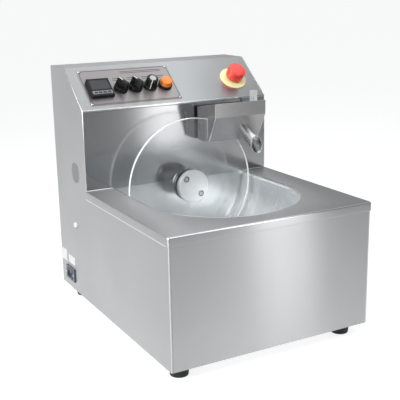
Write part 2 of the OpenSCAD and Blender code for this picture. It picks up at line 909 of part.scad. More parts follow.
module speed_board() {
    board = [90, 60, 1.6];
    post = [38, 24, 8];
    post_r = 4;
    heat_sink = [12, 44, 26];
    heat_sink_x = -20;
    capacitor_r = 9;
    capacitor_h = 28;
    capacitor_place = [18, 8, post[2]];
    color("seagreen") on_base(board_x) {
        for (x = [-post[0], post[0]], y = [-post[1], post[1]])
            translate([x, y, 0]) cylinder(r = post_r, h = post[2] + board[2]);
        block(board, post[2]);
        translate([heat_sink_x, 0, 0]) block(heat_sink, post[2]);
        translate(capacitor_place) cylinder(r = capacitor_r, h = capacitor_h);
    }
}

module heater_relay() {
    foot = [45, 60, 5];
    case = [43, 45, 23];
    color("darkslategray") on_base(relay_x) {
        block(foot);
        block(case);
    }
}

module mains_inlet() {
    color("black") on_left(inlet_back, foot_h + inlet_h) difference() {
        union() {
            block(inlet_flange);
            block([inlet_body[0], inlet_body[1], inlet_body[2] + inlet_collar], -inlet_body[2]);
        }
        block([inlet_recess[0], inlet_recess[1], inlet_recess[2] + cut],
            inlet_collar - inlet_recess[2]);
        for (p = inlet_pin_places)
            translate([p[0], p[1], -inlet_body[2] - cut])
                block([inlet_pin[0] + 2 * seat_fit, inlet_pin[1] + 2 * seat_fit, inlet_body[2]]);
    }
}

module inlet_pins() {
    color("silver") on_left(inlet_back, foot_h + inlet_h) for (p = inlet_pin_places)
        translate([p[0], p[1], 0]) block(inlet_pin, inlet_pin_tip - inlet_pin[2]);
}

module side_plug() {
    dome_h = 4.5;
    stem_l = 8;
    color("white") on_left(plug_back, foot_h + plug_h) {
        cylinder(r = plug_d / 2, h = dome_h / 2);
        translate([0, 0, dome_h / 2]) cylinder(r1 = plug_d / 2, r2 = plug_d / 3, h = dome_h / 2);
        rod(plug_stem_r, -stem_l, 0);
    }
}

plate_screw_r = 1.5;
plate_corner = 4;

module plate_screw_places() {
    for (x = [-1, 1], s = [-1, 1])
        on_slope(plate_x + x * (plate_w / 2 - plate_corner), plate_s + s * (plate_l / 2 - plate_corner))
            children();
}

module control_plate() {
    color("gainsboro") difference() {
        on_slope(plate_x, plate_s) block([plate_w, plate_l, plate_t]);
        control_holes();
    }
}

module plate_screws() {
    tail = 4;
    head_h = 1.4;
    color("dimgray") plate_screw_places() {
        rod(plate_screw_r, -sheet_t - tail, plate_t);
        rod(2 * plate_screw_r, plate_t, plate_t + head_h);
    }
}

key_size = [7, 4];
key_gap = 9.6;
key_row = -15;
key_depth = 4;
key_proud = 0.8;
window = [40, 26, 1.2];
window_up = 6;
face_z = plate_t + controller_h;

module at_controller() {
    on_slope(controller_x, controller_s) children();
}

module key_place(i) {
    at_controller() translate([(i - 1.5) * key_gap, key_row, 0]) children();
}

module controller_case() {
    color([0.2, 0.2, 0.21]) difference() {
        at_controller() union() {
            block([controller_w, controller_w, controller_h], plate_t);
            block([controller_body[0], controller_body[1], controller_body[2] + plate_t],
                -controller_body[2]);
        }
        at_controller() translate([0, window_up, 0])
            block([window[0] + 2 * seat_fit, window[1] + 2 * seat_fit, window[2] + cut],
                face_z - window[2]);
        for (i = [0 : 3])
            key_place(i)
                block([key_size[0] + 2 * loose_fit, key_size[1] + 2 * loose_fit,
                    key_depth + key_travel + cut], face_z - key_depth - key_travel);
    }
}

module controller_window() {
    color([0.05, 0.05, 0.06]) at_controller() translate([0, window_up, 0])
        block(window, face_z - window[2]);
}

// A key that stands a little proud and rests its travel above the pocket's floor
module controller_key(i) {
    color([0.55, 0.56, 0.58]) key_place(i)
        block([key_size[0], key_size[1], key_depth + key_proud - loose_fit],
            face_z - key_depth + loose_fit);
}

module key_set() { controller_key(0); }
module key_shift() { controller_key(1); }
module key_down() { controller_key(2); }
module key_up() { controller_key(3); }

bezel_h = 3.5;
barrel_r = panel_hole_d / 2 - seat_fit;
stem_r = 6;
barrel_l = 28;
stem_floor = 6;
contact_block = [28, 34, 18];

module switch_body(x) {
    color([0.12, 0.12, 0.12]) on_slope(x, switch_s) difference() {
        union() {
            rod(bezel_d / 2, plate_t, plate_t + bezel_h);
            rod(barrel_r, -barrel_l, plate_t + bezel_h);
            block(contact_block, -barrel_l - contact_block[2]);
        }
        rod(stem_r + run_fit, -barrel_l + stem_floor, plate_t + bezel_h + cut);
    }
}

pointer_angle = 127;

// A turning knob with a tapered grip, running in its switch body on a round stem
module switch_knob(x) {
    base_z = plate_t + bezel_h + loose_fit;
    base_r = bezel_d / 2 - cut;
    base_h = 6;
    grip_l = 2 * (base_r - cut);
    grip_h = 16;
    grip_foot = 14;
    grip_top = 7;
    color([0.08, 0.08, 0.08]) on_slope(x, switch_s) {
        rod(stem_r, -barrel_l + stem_floor + cut, base_z);
        rod(base_r, base_z, base_z + base_h);
        translate([0, 0, base_z + base_h]) rotate([0, 0, pointer_angle - 90]) rotate([90, 0, 0])
            linear_extrude(grip_l, center = true) polygon([[-grip_foot / 2, 0], [grip_foot / 2, 0],
                [grip_top / 2, grip_h], [-grip_top / 2, grip_h]]);
    }
}

module heat_switch_body() { switch_body(heat_switch_x); }
module wheel_switch_body() { switch_body(wheel_switch_x); }
module heat_switch_knob() { switch_knob(heat_switch_x); }
module wheel_switch_knob() { switch_knob(wheel_switch_x); }

pot_r = 12;
pot_l = 14;
pot_shaft_r = 3;
pot_floor = 3;
pot_nut_r = 7;
pot_nut_h = 2.5;

module speed_control_body() {
    color([0.3, 0.3, 0.32]) on_slope(speed_x, switch_s) difference() {
        union() {
            rod(pot_r, -sheet_t - pot_l, -sheet_t);
            rod(pot_bush_r, -sheet_t, plate_t + pot_nut_h);
            translate([0, 0, plate_t]) cylinder(r = pot_nut_r, h = pot_nut_h, $fn = 6);
        }
        rod(pot_shaft_r + run_fit, -sheet_t - pot_l + pot_floor, plate_t + pot_nut_h + cut);
    }
}

module speed_knob() {
    base_z = plate_t + pot_nut_h + loose_fit;
    skirt_h = 4;
    skirt_w = 3;
    knob_h = 22;
    knob_r = bezel_d / 2 - skirt_w;
    knob_taper = 1;
    cap_r = knob_r - 5;
    cap_h = 0.6;
    color([0.08, 0.08, 0.08]) on_slope(speed_x, switch_s) {
        rod(pot_shaft_r, -sheet_t - pot_l + pot_floor + cut, base_z);
        rod(bezel_d / 2, base_z, base_z + skirt_h);
        translate([0, 0, base_z + skirt_h])
            cylinder(r1 = knob_r, r2 = knob_r - knob_taper, h = knob_h - skirt_h);
        rod(cap_r, base_z + knob_h, base_z + knob_h + cap_h);
    }
}

lamp_bezel_h = 6;
lamp_seat_r = 9;
lamp_seat_l = 10;
lamp_barrel_l = 35;

module lamp_body() {
    color([0.1, 0.1, 0.1]) on_slope(lamp_x, switch_s) difference() {
        union() {
            rod(bezel_d / 2, plate_t, plate_t + lamp_bezel_h);
            rod(barrel_r, -lamp_barrel_l, plate_t);
        }
        rod(lamp_seat_r + seat_fit, -lamp_seat_l, plate_t + lamp_bezel_h + cut);
    }
}

module lamp_lens() {
    lens_r = bezel_d / 2 - 2;
    lens_h = 8;
    dome_h = 3;
    z = plate_t + lamp_bezel_h;
    color([1, 0.5, 0.05]) on_slope(lamp_x, switch_s) {
        rod(lamp_seat_r, -lamp_seat_l + cut, z);
        rod(lens_r, z, z + lens_h);
        translate([0, 0, z + lens_h]) cylinder(r1 = lens_r, r2 = lens_r - dome_h, h = dome_h);
    }
}

module at_stop() {
    on_slope(stop_x, stop_s) children();
}

module stop_ring() {
    color([0.98, 0.9, 0.3]) at_stop() difference() {
        rod(stop_ring_d / 2, 0, stop_ring_t);
        rod(panel_hole_d / 2, -cut, stop_ring_t + cut);
    }
}

stop_barrel_l = 30;
stop_collar_r = 13;
stop_stem_rise = 17;
stop_stem_top = stop_head_z + stop_stem_rise;
stop_contacts = [30, 38, 26];

module stop_body() {
    color([0.15, 0.15, 0.16]) at_stop() difference() {
        union() {
            rod(stop_collar_r, stop_ring_t, stop_collar_h);
            rod(barrel_r, -stop_barrel_l, stop_ring_t);
        }
        rod(stop_stem_r + run_fit, -stop_barrel_l - cut, stop_collar_h + cut);
    }
}

module stop_contact_block() {
    color([0.25, 0.25, 0.26]) at_stop() difference() {
        block(stop_contacts, -stop_barrel_l - stop_contacts[2]);
        rod(stop_stem_r + cut, -stop_barrel_l - 2 * stop_travel, -stop_barrel_l + cut);
    }
}

module stop_plunger() {
    color("gray") at_stop() rod(stop_stem_r, -stop_barrel_l + 2 * cut, stop_stem_top);
}

// Mushroom head on its plunger, hollow underneath so that it sinks over the collar
module stop_head() {
    edge = 3;
    skirt_h = 14;
    skirt_taper = 3;
    head_r = stop_head_d / 2;
    skirt_r = head_r - skirt_taper;
    wide_z = stop_head_z + skirt_h;
    top = stop_head_z + stop_head_h;
    color([0.9, 0.12, 0.1]) at_stop() difference() {
        union() {
            translate([0, 0, stop_head_z]) cylinder(r1 = skirt_r, r2 = head_r, h = skirt_h);
            rod(head_r, wide_z, top - edge);
            translate([0, 0, top - edge]) cylinder(r1 = head_r, r2 = head_r - edge, h = edge);
        }
        rod(stop_collar_r + cut, stop_head_z - cut, stop_collar_h + stop_travel + stop_spare);
        rod(stop_stem_r + run_fit, stop_head_z, stop_stem_top + loose_fit);
    }
}

left_side_panel();
right_side_panel();
front_panel();
base_plate();
back_cover();
back_cover_screws();
deck_tray();
tank_bowl();
backsplash();
control_fascia();
rubber_feet();
foot_screws();
heater_mats();
temperature_probe();
thermal_cutout();
bearing_housing();
shaft_bush();
shaft_seal();
motor_standoffs();
motor_plate();
gearbox_case();
drive_motor();
terminal_block();
speed_board();
heater_relay();
mains_inlet();
inlet_pins();
side_plug();
hanger_rail();
control_plate();
plate_screws();
controller_case();
controller_window();
heat_switch_body();
wheel_switch_body();
speed_control_body();
lamp_body();
lamp_lens();
stop_ring();
stop_body();
stop_contact_block();
wheel_disc();
hub_flange();
hub_cap();
hub_screws();
wheel_shaft();
output_gear();
motor_pinion();
scraper_box();
pour_spout();
scraper_blades();
heat_switch_knob();
wheel_switch_knob();
speed_knob();
stop_plunger();
stop_head();
key_set();
key_shift();
key_down();
key_up();
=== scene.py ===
# Looks of a table-top chocolate melting tank with a clear wheel and a scraper box.
import json
from math import asin, atan, atan2, copysign, cos, hypot, pi, radians, sin, sqrt, tan, tau

import bmesh
import bpy
from mathutils import Matrix, Vector


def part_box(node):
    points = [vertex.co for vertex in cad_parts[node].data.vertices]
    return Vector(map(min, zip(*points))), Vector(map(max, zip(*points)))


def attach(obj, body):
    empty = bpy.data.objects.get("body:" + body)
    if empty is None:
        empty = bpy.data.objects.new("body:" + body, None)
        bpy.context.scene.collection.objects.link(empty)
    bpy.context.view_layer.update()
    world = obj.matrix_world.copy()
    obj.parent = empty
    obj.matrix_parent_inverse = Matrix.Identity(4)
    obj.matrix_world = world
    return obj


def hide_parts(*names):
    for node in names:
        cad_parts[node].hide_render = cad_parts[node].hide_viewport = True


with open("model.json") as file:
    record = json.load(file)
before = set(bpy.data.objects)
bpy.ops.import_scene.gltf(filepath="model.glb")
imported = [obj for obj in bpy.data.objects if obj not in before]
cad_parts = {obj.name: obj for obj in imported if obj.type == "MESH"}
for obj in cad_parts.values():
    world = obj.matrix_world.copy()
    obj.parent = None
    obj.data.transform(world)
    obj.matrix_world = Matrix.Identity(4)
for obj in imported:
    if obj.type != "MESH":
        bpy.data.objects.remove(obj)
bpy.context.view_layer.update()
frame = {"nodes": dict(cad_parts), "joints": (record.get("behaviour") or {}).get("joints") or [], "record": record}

MM = 0.001
X_AXIS, Y_AXIS, Z_AXIS = Vector((1, 0, 0)), Vector((0, 1, 0)), Vector((0, 0, 1))
UPRIGHT = Matrix.Identity(4)
BRUSH = "brush"


def mm(*lengths):
    """Millimetres as metres."""
    return [length * MM for length in lengths]


# Sheet and wall thicknesses of the real pieces
SHEET, TANK_WALL = mm(1.5, 2)

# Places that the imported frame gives
deck_low, deck_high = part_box("deck_tray")
bowl_low, bowl_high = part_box("tank_bowl")
DECK_Z, LIP_Z, LIP_X, LIP_Y = deck_high.z, deck_low.z, deck_high.x, deck_low.y
COLUMN_Y, TANK_Z = bowl_high.y, bowl_high.z
TANK_R = bowl_high.x - TANK_WALL
TANK_Y = bowl_low.y + TANK_WALL + TANK_R
INNER_X, BACK_Y, TOP_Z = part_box("control_fascia")[1]
LEFT_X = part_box("left_side_panel")[0].x
JOINTS = {joint["name"]: joint for joint in frame["joints"]}
AXLE = Vector(JOINTS["wheel_spin"]["pos_m"])


def place_at(origin, across, up, out):
    """A placing whose X, Y and Z run along three directions."""
    turn = Matrix((across, up, out)).transposed().to_4x4()
    return Matrix.Translation(origin) @ turn


def facing_front(x, y, z):
    return place_at(Vector((x, y, z)), X_AXIS, Z_AXIS, -Y_AXIS)


def facing_left(y, z):
    return place_at(Vector((LEFT_X, y, z)), -Y_AXIS, Z_AXIS, -X_AXIS)


# The placing of sections that are drawn in Y and Z and run along X
SIDEWAYS = place_at(Vector((0, 0, 0)), Y_AXIS, Z_AXIS, X_AXIS)
SLOPE_OUT = -Vector(JOINTS["heat_switch_turn"]["axis"]).normalized()
SLOPE_UP = SLOPE_OUT.cross(X_AXIS)
SLOPE_TAN = SLOPE_UP.z / SLOPE_UP.y


def on_slope(point):
    return place_at(point, X_AXIS, SLOPE_UP, SLOPE_OUT)


def joint_place(name):
    return on_slope(Vector(JOINTS[name]["pos_m"]))


SLOPE = joint_place("heat_switch_turn")


def span(node, place):
    """Lowest and highest corner of a CAD node, measured in a placing's own directions."""
    inside = place.inverted()
    points = [inside @ vertex.co for vertex in frame["nodes"][node].data.vertices]
    low = Vector(min(point[i] for point in points) for i in range(3))
    high = Vector(max(point[i] for point in points) for i in range(3))
    return low, high


def slope_place_of(node):
    """The placing on the slope under the middle of a CAD node."""
    low, high = span(node, SLOPE)
    middle = (low + high) / 2
    return on_slope(SLOPE @ Vector((middle.x, middle.y, 0)))


def put_in_scene(name, data):
    made = bpy.data.objects.new(name, data)
    bpy.context.scene.collection.objects.link(made)
    return made


# Camera

CAMERA_LENS = 72.98
CAMERA_TURN, CAMERA_RISE, CAMERA_ROLL = (radians(a) for a in (-28.721, 14.833, -0.974))
CAMERA_REACH = 1.6767
CAMERA_AIM = Vector((0.00003, 0.0092, 0.2423))


def make_camera():
    back = Vector((sin(CAMERA_TURN) * cos(CAMERA_RISE),
                   -cos(CAMERA_TURN) * cos(CAMERA_RISE), sin(CAMERA_RISE)))
    level = Z_AXIS.cross(back).normalized()
    upright = back.cross(level)
    across = cos(CAMERA_ROLL) * level + sin(CAMERA_ROLL) * upright
    up = cos(CAMERA_ROLL) * upright - sin(CAMERA_ROLL) * level
    lens = bpy.data.cameras.new("camera")
    lens.lens = CAMERA_LENS
    camera = put_in_scene("camera", lens)
    camera.matrix_world = place_at(CAMERA_AIM + back * CAMERA_REACH, across, up, back)
    bpy.context.scene.camera = camera


# Node tools

def feed(tree, node, values):
    """Gives a node's inputs, by name or by number, their links and values."""
    for label, value in values.items():
        if isinstance(value, bpy.types.NodeSocket):
            tree.links.new(value, node.inputs[label])
        else:
            node.inputs[label].default_value = value
    return node


def add_node(tree, kind, values, **settings):
    node = tree.nodes.new(kind)
    for name, setting in settings.items():
        setattr(node, name, setting)
    return feed(tree, node, values).outputs


def calc(tree, operation, *values):
    return add_node(tree, "ShaderNodeMath", dict(enumerate(values)), operation=operation)[0]


def combine(tree, *values):
    return add_node(tree, "ShaderNodeCombineXYZ", dict(enumerate(values)))[0]


def mapped(tree, value, source, target):
    """A value carried over from one range to another."""
    return add_node(tree, "ShaderNodeMapRange", {
        "Value": value, "From Min": source[0], "From Max": source[1],
        "To Min": target[0], "To Max": target[1]})["Result"]


def coordinate(tree, kind="Object"):
    return add_node(tree, "ShaderNodeTexCoord", {})[kind]


def depth_of(tree, point):
    """How far back a point lies."""
    return add_node(tree, "ShaderNodeSeparateXYZ", {0: point})["Y"]


# Stage and light

FLOOR_HALF = 60.0
FLOOR_TONE = 0.42
# The floor's own brightness near and far, and the depths between which it changes
FLOOR_LIFT, FLOOR_FADE = (0.16, 0.78), (-1.6, -0.45)
# The room's brightness in front and behind, and the directions between which it changes
ROOM_TONE, ROOM_FADE, ROOM_TINT = (0.18, 0.5), (-0.75, 0.25), (0.97, 0.985, 1.0)
WHITE, COOL, COLD = (1, 1, 1), (0.97, 0.99, 1.0), (0.85, 0.94, 1.0)
# Name, place, aim, width, height, watts, tint, spread in degrees
LAMPS = [
    ("strip_softbox", (0.58, -1.13, 0.6), (0, 0, 0.6), 0.17, 1.3, 1.8, WHITE, 180),
    ("overhead", (0.15, 0.3, 1.75), (0, 0, 0.2), 1.7, 1.5, 7.6, COOL, 180),
    ("overhead_strip", (0.7, 0.3, 1.74), (0.7, 0.3, 0), 0.25, 1.5, 0.35, COLD, 180),
    ("front_boom", (0.3, -1.3, 1.6), (0, 0, 0.35), 1.6, 0.25, 4.0, WHITE, 180),
    ("left_softbox", (-1.25, -1.3, 0.85), (0, 0, 0.35), 0.4, 1.0, 5, WHITE, 180),
    ("key", (-1.7, -0.6, 1.45), (0.05, -0.02, 0.25), 1.5, 1.3, 10, WHITE, 80),
]


def add_lamp(name, place, aim, width, height, watts, tint, spread):
    lamp = bpy.data.lights.new(name, "AREA")
    lamp.shape = "RECTANGLE"
    lamp.size, lamp.size_y = width, height
    lamp.energy = watts
    lamp.color = tint
    lamp.spread = radians(spread)
    holder = put_in_scene(name, lamp)
    holder.location = place
    holder.rotation_euler = (Vector(aim) - Vector(place)).to_track_quat("-Z", "Y").to_euler()


def seen_directly(tree):
    """1 for rays that the eye, a gloss or clear plastic sends out, 0 for rays of soft light."""
    path = add_node(tree, "ShaderNodeLightPath", {})
    mirrored = calc(tree, "MAXIMUM", path["Is Camera Ray"], path["Is Glossy Ray"])
    return calc(tree, "MAXIMUM", mirrored, path["Is Transmission Ray"])


def make_world():
    """A white room that is darker in front of the object than behind and above it."""
    world = bpy.data.worlds.new("studio")
    world.use_nodes = True
    bpy.context.scene.world = world
    tree = world.node_tree
    depth = depth_of(tree, coordinate(tree, "Generated"))
    feed(tree, tree.nodes["Background"],
         {"Color": (*ROOM_TINT, 1), "Strength": mapped(tree, depth, ROOM_FADE, ROOM_TONE)})


def make_stage():
    mesh = bpy.data.meshes.new("floor")
    corners = [(-1, -1), (1, -1), (1, 1), (-1, 1)]
    mesh.from_pydata([(x * FLOOR_HALF, y * FLOOR_HALF, 0) for x, y in corners], [], [(0, 1, 2, 3)])
    floor = put_in_scene("floor", mesh)
    paint, tree, shader = new_material("floor_paint")
    lift = mapped(tree, depth_of(tree, coordinate(tree)), FLOOR_FADE, FLOOR_LIFT)
    glow = calc(tree, "MULTIPLY", seen_directly(tree), lift)
    feed(tree, shader, {
        "Base Color": (FLOOR_TONE, FLOOR_TONE, FLOOR_TONE, 1), "Roughness": 1.0, "Specular IOR Level": 0.0,
        "Emission Color": (1, 1, 1, 1), "Emission Strength": glow})
    mesh.materials.append(paint)
    for lamp in LAMPS:
        add_lamp(*lamp)
    make_world()
    bpy.context.scene.view_settings.view_transform = "Standard"


# Materials

# The range that most of a noise value lies in
NOISE = (0.3, 0.7)
# Scale and detail of the noise for brush lines, cloudy gloss, worn plastic and wipe marks
LINE_NOISE, CLOUD_NOISE, WEAR_NOISE, WIPE_NOISE = (1.0, 4.0), (7.0, 2.0), (45.0, 2.0), (18.0, 3.0)
GRAIN_DETAIL, CLOUD_SPREAD = 3.0, (-0.02, 0.02)
# Darkest and lightest shade, and strength of the bumps, of brush lines and of moulded grain
LINE_SHADES, LINE_BUMP = (0.97, 1.03), 0.25
GRAIN_SHADES, GRAIN_BUMP = (0.92, 1.06), 0.3
SATIN_STRETCH, CLEAR_SHARE = 0.8, 0.6


def new_material(name):
    material = bpy.data.materials.new(name)
    material.use_nodes = True
    tree = material.node_tree
    return material, tree, tree.nodes["Principled BSDF"]


def noise(tree, vector, scale, detail):
    return add_node(tree, "ShaderNodeTexNoise", {"Vector": vector, "Scale": scale, "Detail": detail})["Fac"]


def bumps(tree, height, strength, depth):
    return add_node(tree, "ShaderNodeBump", {
        "Height": height, "Strength": strength, "Distance": depth * MM})["Normal"]


def shades(tree, value, colour, factors):
    """A colour that runs from a darker to a lighter shade with a noise value."""
    ramp = tree.nodes.new("ShaderNodeValToRGB")
    for stop, place, factor in zip(ramp.color_ramp.elements, NOISE, factors):
        stop.color = (*(min(1.0, channel * factor) for channel in colour), 1)
        stop.position = place
    return feed(tree, ramp, {0: value}).outputs[0]


def brushed(name, colour, roughness, stretch, streak=0.04, depth=0.008, across=4000, along=30, metallic=1.0):
    """Steel with fine brush lines; its gloss stretches across the lines."""
    material, tree, shader = new_material(name)
    flat = add_node(tree, "ShaderNodeUVMap", {}, uv_map=BRUSH)["UV"]
    drawn = add_node(tree, "ShaderNodeMapping", {"Vector": flat, "Scale": (across, along, 1)})["Vector"]
    lines, clouds = noise(tree, drawn, *LINE_NOISE), noise(tree, coordinate(tree), *CLOUD_NOISE)
    fine = mapped(tree, lines, NOISE, (roughness - streak, roughness + streak))
    broad = mapped(tree, clouds, NOISE, CLOUD_SPREAD)
    tangent = add_node(tree, "ShaderNodeTangent", {}, direction_type="UV_MAP", uv_map=BRUSH)["Tangent"]
    feed(tree, shader, {
        "Base Color": shades(tree, lines, colour, LINE_SHADES), "Metallic": metallic,
        "Roughness": calc(tree, "ADD", fine, broad), "Anisotropic": stretch, "Tangent": tangent,
        "Normal": bumps(tree, lines, LINE_BUMP, depth)})
    return material


def satin(name, colour, roughness, metallic):
    """Brushed steel whose matt skin scatters part of the light."""
    return brushed(name, colour, roughness, SATIN_STRETCH, metallic=metallic)


def lathed(name, colour, roughness, stretch):
    """Metal with the fine rings that a lathe leaves."""
    return brushed(name, colour, roughness, stretch, across=2600, along=6)


def moulded(name, colour, roughness, grain=900, metallic=0.0, depth=0.03, coat=0.0, vary=0.08, gloss=0.5):
    """Plastic, rubber or cast metal with a fine surface grain."""
    material, tree, shader = new_material(name)
    place = coordinate(tree)
    broad = noise(tree, place, *WEAR_NOISE)
    feed(tree, shader, {
        "Base Color": shades(tree, broad, colour, GRAIN_SHADES), "Metallic": metallic,
        "Roughness": mapped(tree, broad, NOISE, (roughness - vary, roughness + vary)),
        "Coat Weight": coat, "Specular IOR Level": gloss,
        "Normal": bumps(tree, noise(tree, place, grain, GRAIN_DETAIL), GRAIN_BUMP, depth)})
    return material


def bare_metal(name, colour, roughness, depth=0.03):
    return moulded(name, colour, roughness, metallic=1.0, depth=depth)


def clear_plastic(name, colour, index, smear, veil):
    """Clear sheet plastic that lets most light straight through, with a faint veil of wipe marks."""
    material, tree, shader = new_material(name)
    wipes = noise(tree, coordinate(tree), *WIPE_NOISE)
    feed(tree, shader, {
        "Base Color": (*colour, 1), "Transmission Weight": CLEAR_SHARE, "IOR": index, "Alpha": veil,
        "Roughness": mapped(tree, wipes, NOISE, (0.0, smear))})
    return material


finishes = {
    "brushed_steel": brushed("brushed_panel", (0.5, 0.505, 0.51), 0.32, 1.0),
    "polished_steel": satin("satin_bowl", (0.82, 0.85, 0.87), 0.3, 0.76),
    "backsplash_steel": brushed("polished_backsplash", (0.39, 0.395, 0.4), 0.17, 0.4),
    "end_wall_steel": brushed("satin_end_wall", (0.55, 0.56, 0.56), 0.24, 0.4),
    # The box's inside is the same sheet as its outside, painted far lighter as painted light; the pair is a lit
    # and a shaded copy of one steel
    "box_steel": satin("folded_box", (0.37, 0.365, 0.365), 0.3, 0.78),
    "painted_light_box_face": satin("painted_light_box_lining", (0.8, 0.82, 0.84), 0.35, 0.65),
    "tube_steel": brushed("satin_tube", (0.72, 0.72, 0.72), 0.2, 0.3, streak=0.03, depth=0.005),
    # Lighter, glossier steel laid on bends, rounded edges, hems, seams and the rim bead as a painted highlight
    "painted_highlight_steel": brushed("painted_highlight_edge", (0.8, 0.8, 0.8), 0.15, 0.2, streak=0.03, depth=0.005),
    "engraved_steel": brushed("engraved_plate", (0.4, 0.372, 0.372), 0.32, 1.0),
    "hub_metal": lathed("turned_metal", (0.7, 0.705, 0.71), 0.52, 0.0),
    "flange_metal": lathed("turned_flange", (0.36, 0.36, 0.365), 0.2, 0.3),
    "knob_silver": lathed("knob_silver", (0.5, 0.5, 0.5), 0.3, 0.5),
    "hub_screw_metal": bare_metal("hub_screw_metal", (0.5, 0.5, 0.51), 0.45, 0.01),
    # Near-black metal for the walls of the hub cap's screw pockets: painted shade in a recess
    "painted_pocket_shade": bare_metal("painted_pocket_shade", (0.07, 0.07, 0.075), 0.6, 0.01),
    "inner_steel": bare_metal("inner_sheet", (0.5, 0.5, 0.51), 0.38, 0.01),
    "screw_steel": bare_metal("screw_metal", (0.72, 0.72, 0.72), 0.22, 0.01),
    "shaft_steel": bare_metal("ground_metal", (0.62, 0.62, 0.62), 0.2, 0.005),
    "gear_steel": bare_metal("gear_metal", (0.5, 0.5, 0.48), 0.35),
    "sensor_metal": bare_metal("sensor_can", (0.6, 0.58, 0.55), 0.35),
    "stem_metal": bare_metal("stem_metal", (0.5, 0.5, 0.5), 0.3),
    "bush_bronze": bare_metal("sintered_bronze", (0.55, 0.36, 0.18), 0.45),
    "cast_metal": moulded("cast_housing", (0.3, 0.31, 0.32), 0.5, grain=500, metallic=0.6, depth=0.08),
    "foot_rubber": moulded("black_rubber", (0.022, 0.022, 0.023), 0.7, grain=700, depth=0.08),
    "heater_silicone": moulded("silicone_mat", (0.55, 0.17, 0.06), 0.6),
    "food_plastic": moulded("white_plastic", (0.86, 0.86, 0.85), 0.4),
    "label_film": moulded("blank_label", (0.88, 0.89, 0.9), 0.45, depth=0.005),
    "terminal_plastic": moulded("terminal_plastic", (0.78, 0.74, 0.6), 0.5),
    "circuit_board": moulded("circuit_board", (0.04, 0.26, 0.12), 0.45),
    "relay_plastic": moulded("relay_case", (0.1, 0.11, 0.12), 0.5),
    "black_plastic": moulded("black_plastic", (0.01, 0.01, 0.011), 0.4, gloss=0.3),
    "knob_plastic": moulded("knob_plastic", (0.008, 0.008, 0.009), 0.28, depth=0.015, gloss=0.35),
    "pointer_white": moulded("pointer_white", (0.9, 0.9, 0.9), 0.4, depth=0.01),
    "controller_plastic": moulded("controller_case", (0.008, 0.008, 0.01), 0.36, gloss=0.25),
    "controller_glass": moulded("controller_window", (0.05, 0.052, 0.056), 0.2, depth=0.002, gloss=0.25),
    "controller_strip": moulded("controller_strip", (0.25, 0.255, 0.28), 0.4, depth=0.01),
    "key_plastic": moulded("key_rubber", (0.03, 0.03, 0.034), 0.5),
    "inlet_plastic": moulded("inlet_plastic", (0.11, 0.13, 0.165), 0.3),
    "lamp_orange": moulded("lamp_lens", (1.0, 0.24, 0.008), 0.2, depth=0.01, coat=0.6, vary=0.05),
    "stop_yellow": moulded("stop_ring", (1.0, 0.92, 0.48), 0.35, depth=0.01),
    "stop_red": moulded("stop_head", (0.93, 0.055, 0.04), 0.28, depth=0.01, coat=0.3),
    "engraving": moulded("filled_engraving", (0.03, 0.028, 0.03), 0.5, depth=0.01),
    "sawn_acrylic": moulded("sawn_acrylic", (0.9, 0.92, 0.92), 0.5, depth=0.01),
    "blade_plastic": moulded("blade_plastic", (0.3, 0.31, 0.32), 0.5),
    "clear_acrylic": clear_plastic("clear_acrylic", (0.9, 0.95, 0.96), 1.49, 0.08, 0.08),
}


# Mesh tools

# Points nearer than this are one point, in metres
WELD = 1e-6
# Angles in degrees: between faces that count as flat, that shade smooth and that meet in a sharp edge
FLAT, SMOOTH, SHARP = 0.5, 35, 40
# The sine of the tilt up to which a face counts as level, and as not facing back
TILT = 0.2


def rounded(points, radius, steps=6, closed=False):
    """The line through some points with its corners turned into arcs."""
    made = []
    count = len(points)
    for i, corner in enumerate(points):
        reach = radius[i] if isinstance(radius, (list, tuple)) else radius
        here = Vector(corner)
        if reach == 0 or (not closed and i in (0, count - 1)):
            made.append(here)
            continue
        back, ahead = Vector(points[i - 1]) - here, Vector(points[(i + 1) % count]) - here
        half = back.angle(ahead) / 2
        cut = min(reach / tan(half), 0.49 * back.length, 0.49 * ahead.length)
        back.normalize()
        ahead.normalize()
        centre = here + (back + ahead).normalized() * cut / cos(half)
        first, last = here + back * cut - centre, here + ahead * cut - centre
        sweep = first.angle(last)
        for k in range(steps + 1):
            share = k / steps
            made.append(centre + (first * sin((1 - share) * sweep)
                                  + last * sin(share * sweep)) / sin(sweep))
    return made


def turned(profile, place, sides=96, closed=False):
    """A shape turned about a placing's Z from (radius, height) points, with brush lines round it."""
    shape = bmesh.new()
    layer = shape.loops.layers.uv.new(BRUSH)
    turns = [k * tau / sides for k in range(sides + 1)]
    rings = []
    for radius, height in profile:
        on_axis = radius < WELD / 10
        rings.append([shape.verts.new(place @ Vector((radius * cos(a), radius * sin(a), height)))
                      for a in turns[:1 if on_axis else sides]])
    widest = max(point[0] for point in profile)
    travel = [0.0]
    for first, last in zip(profile, profile[1:]):
        travel.append(travel[-1] + (Vector(last) - Vector(first)).length)
    count = len(rings)
    for a in range(count if closed else count - 1):
        b = (a + 1) % count
        if len(rings[a]) == len(rings[b]) == 1:
            continue
        for k in range(sides):
            step = [(a, k), (a, k + 1), (b, k + 1), (b, k)]
            if len(rings[a]) == 1:
                step.pop(1)
            if len(rings[b]) == 1:
                step.pop(2)
            face = shape.faces.new([rings[r][s % len(rings[r])] for r, s in step])
            for loop, (r, s) in zip(face.loops, step):
                loop[layer].uv = (travel[r], turns[s] * widest)
    bmesh.ops.recalc_face_normals(shape, faces=shape.faces)
    return shape


def prism(outline, place, low, high, top=None):
    """A flat outline drawn in a placing's X and Y, made solid between two heights; the top may differ."""
    shape = bmesh.new()
    floor = [shape.verts.new(place @ Vector((x, y, low))) for x, y in outline]
    roof = [shape.verts.new(place @ Vector((x, y, high))) for x, y in top or outline]
    count = len(outline)
    for k in range(count):
        shape.faces.new((floor[k], floor[(k + 1) % count], roof[(k + 1) % count], roof[k]))
    shape.faces.new(list(reversed(floor)))
    shape.faces.new(roof)
    bmesh.ops.recalc_face_normals(shape, faces=shape.faces)
    return shape


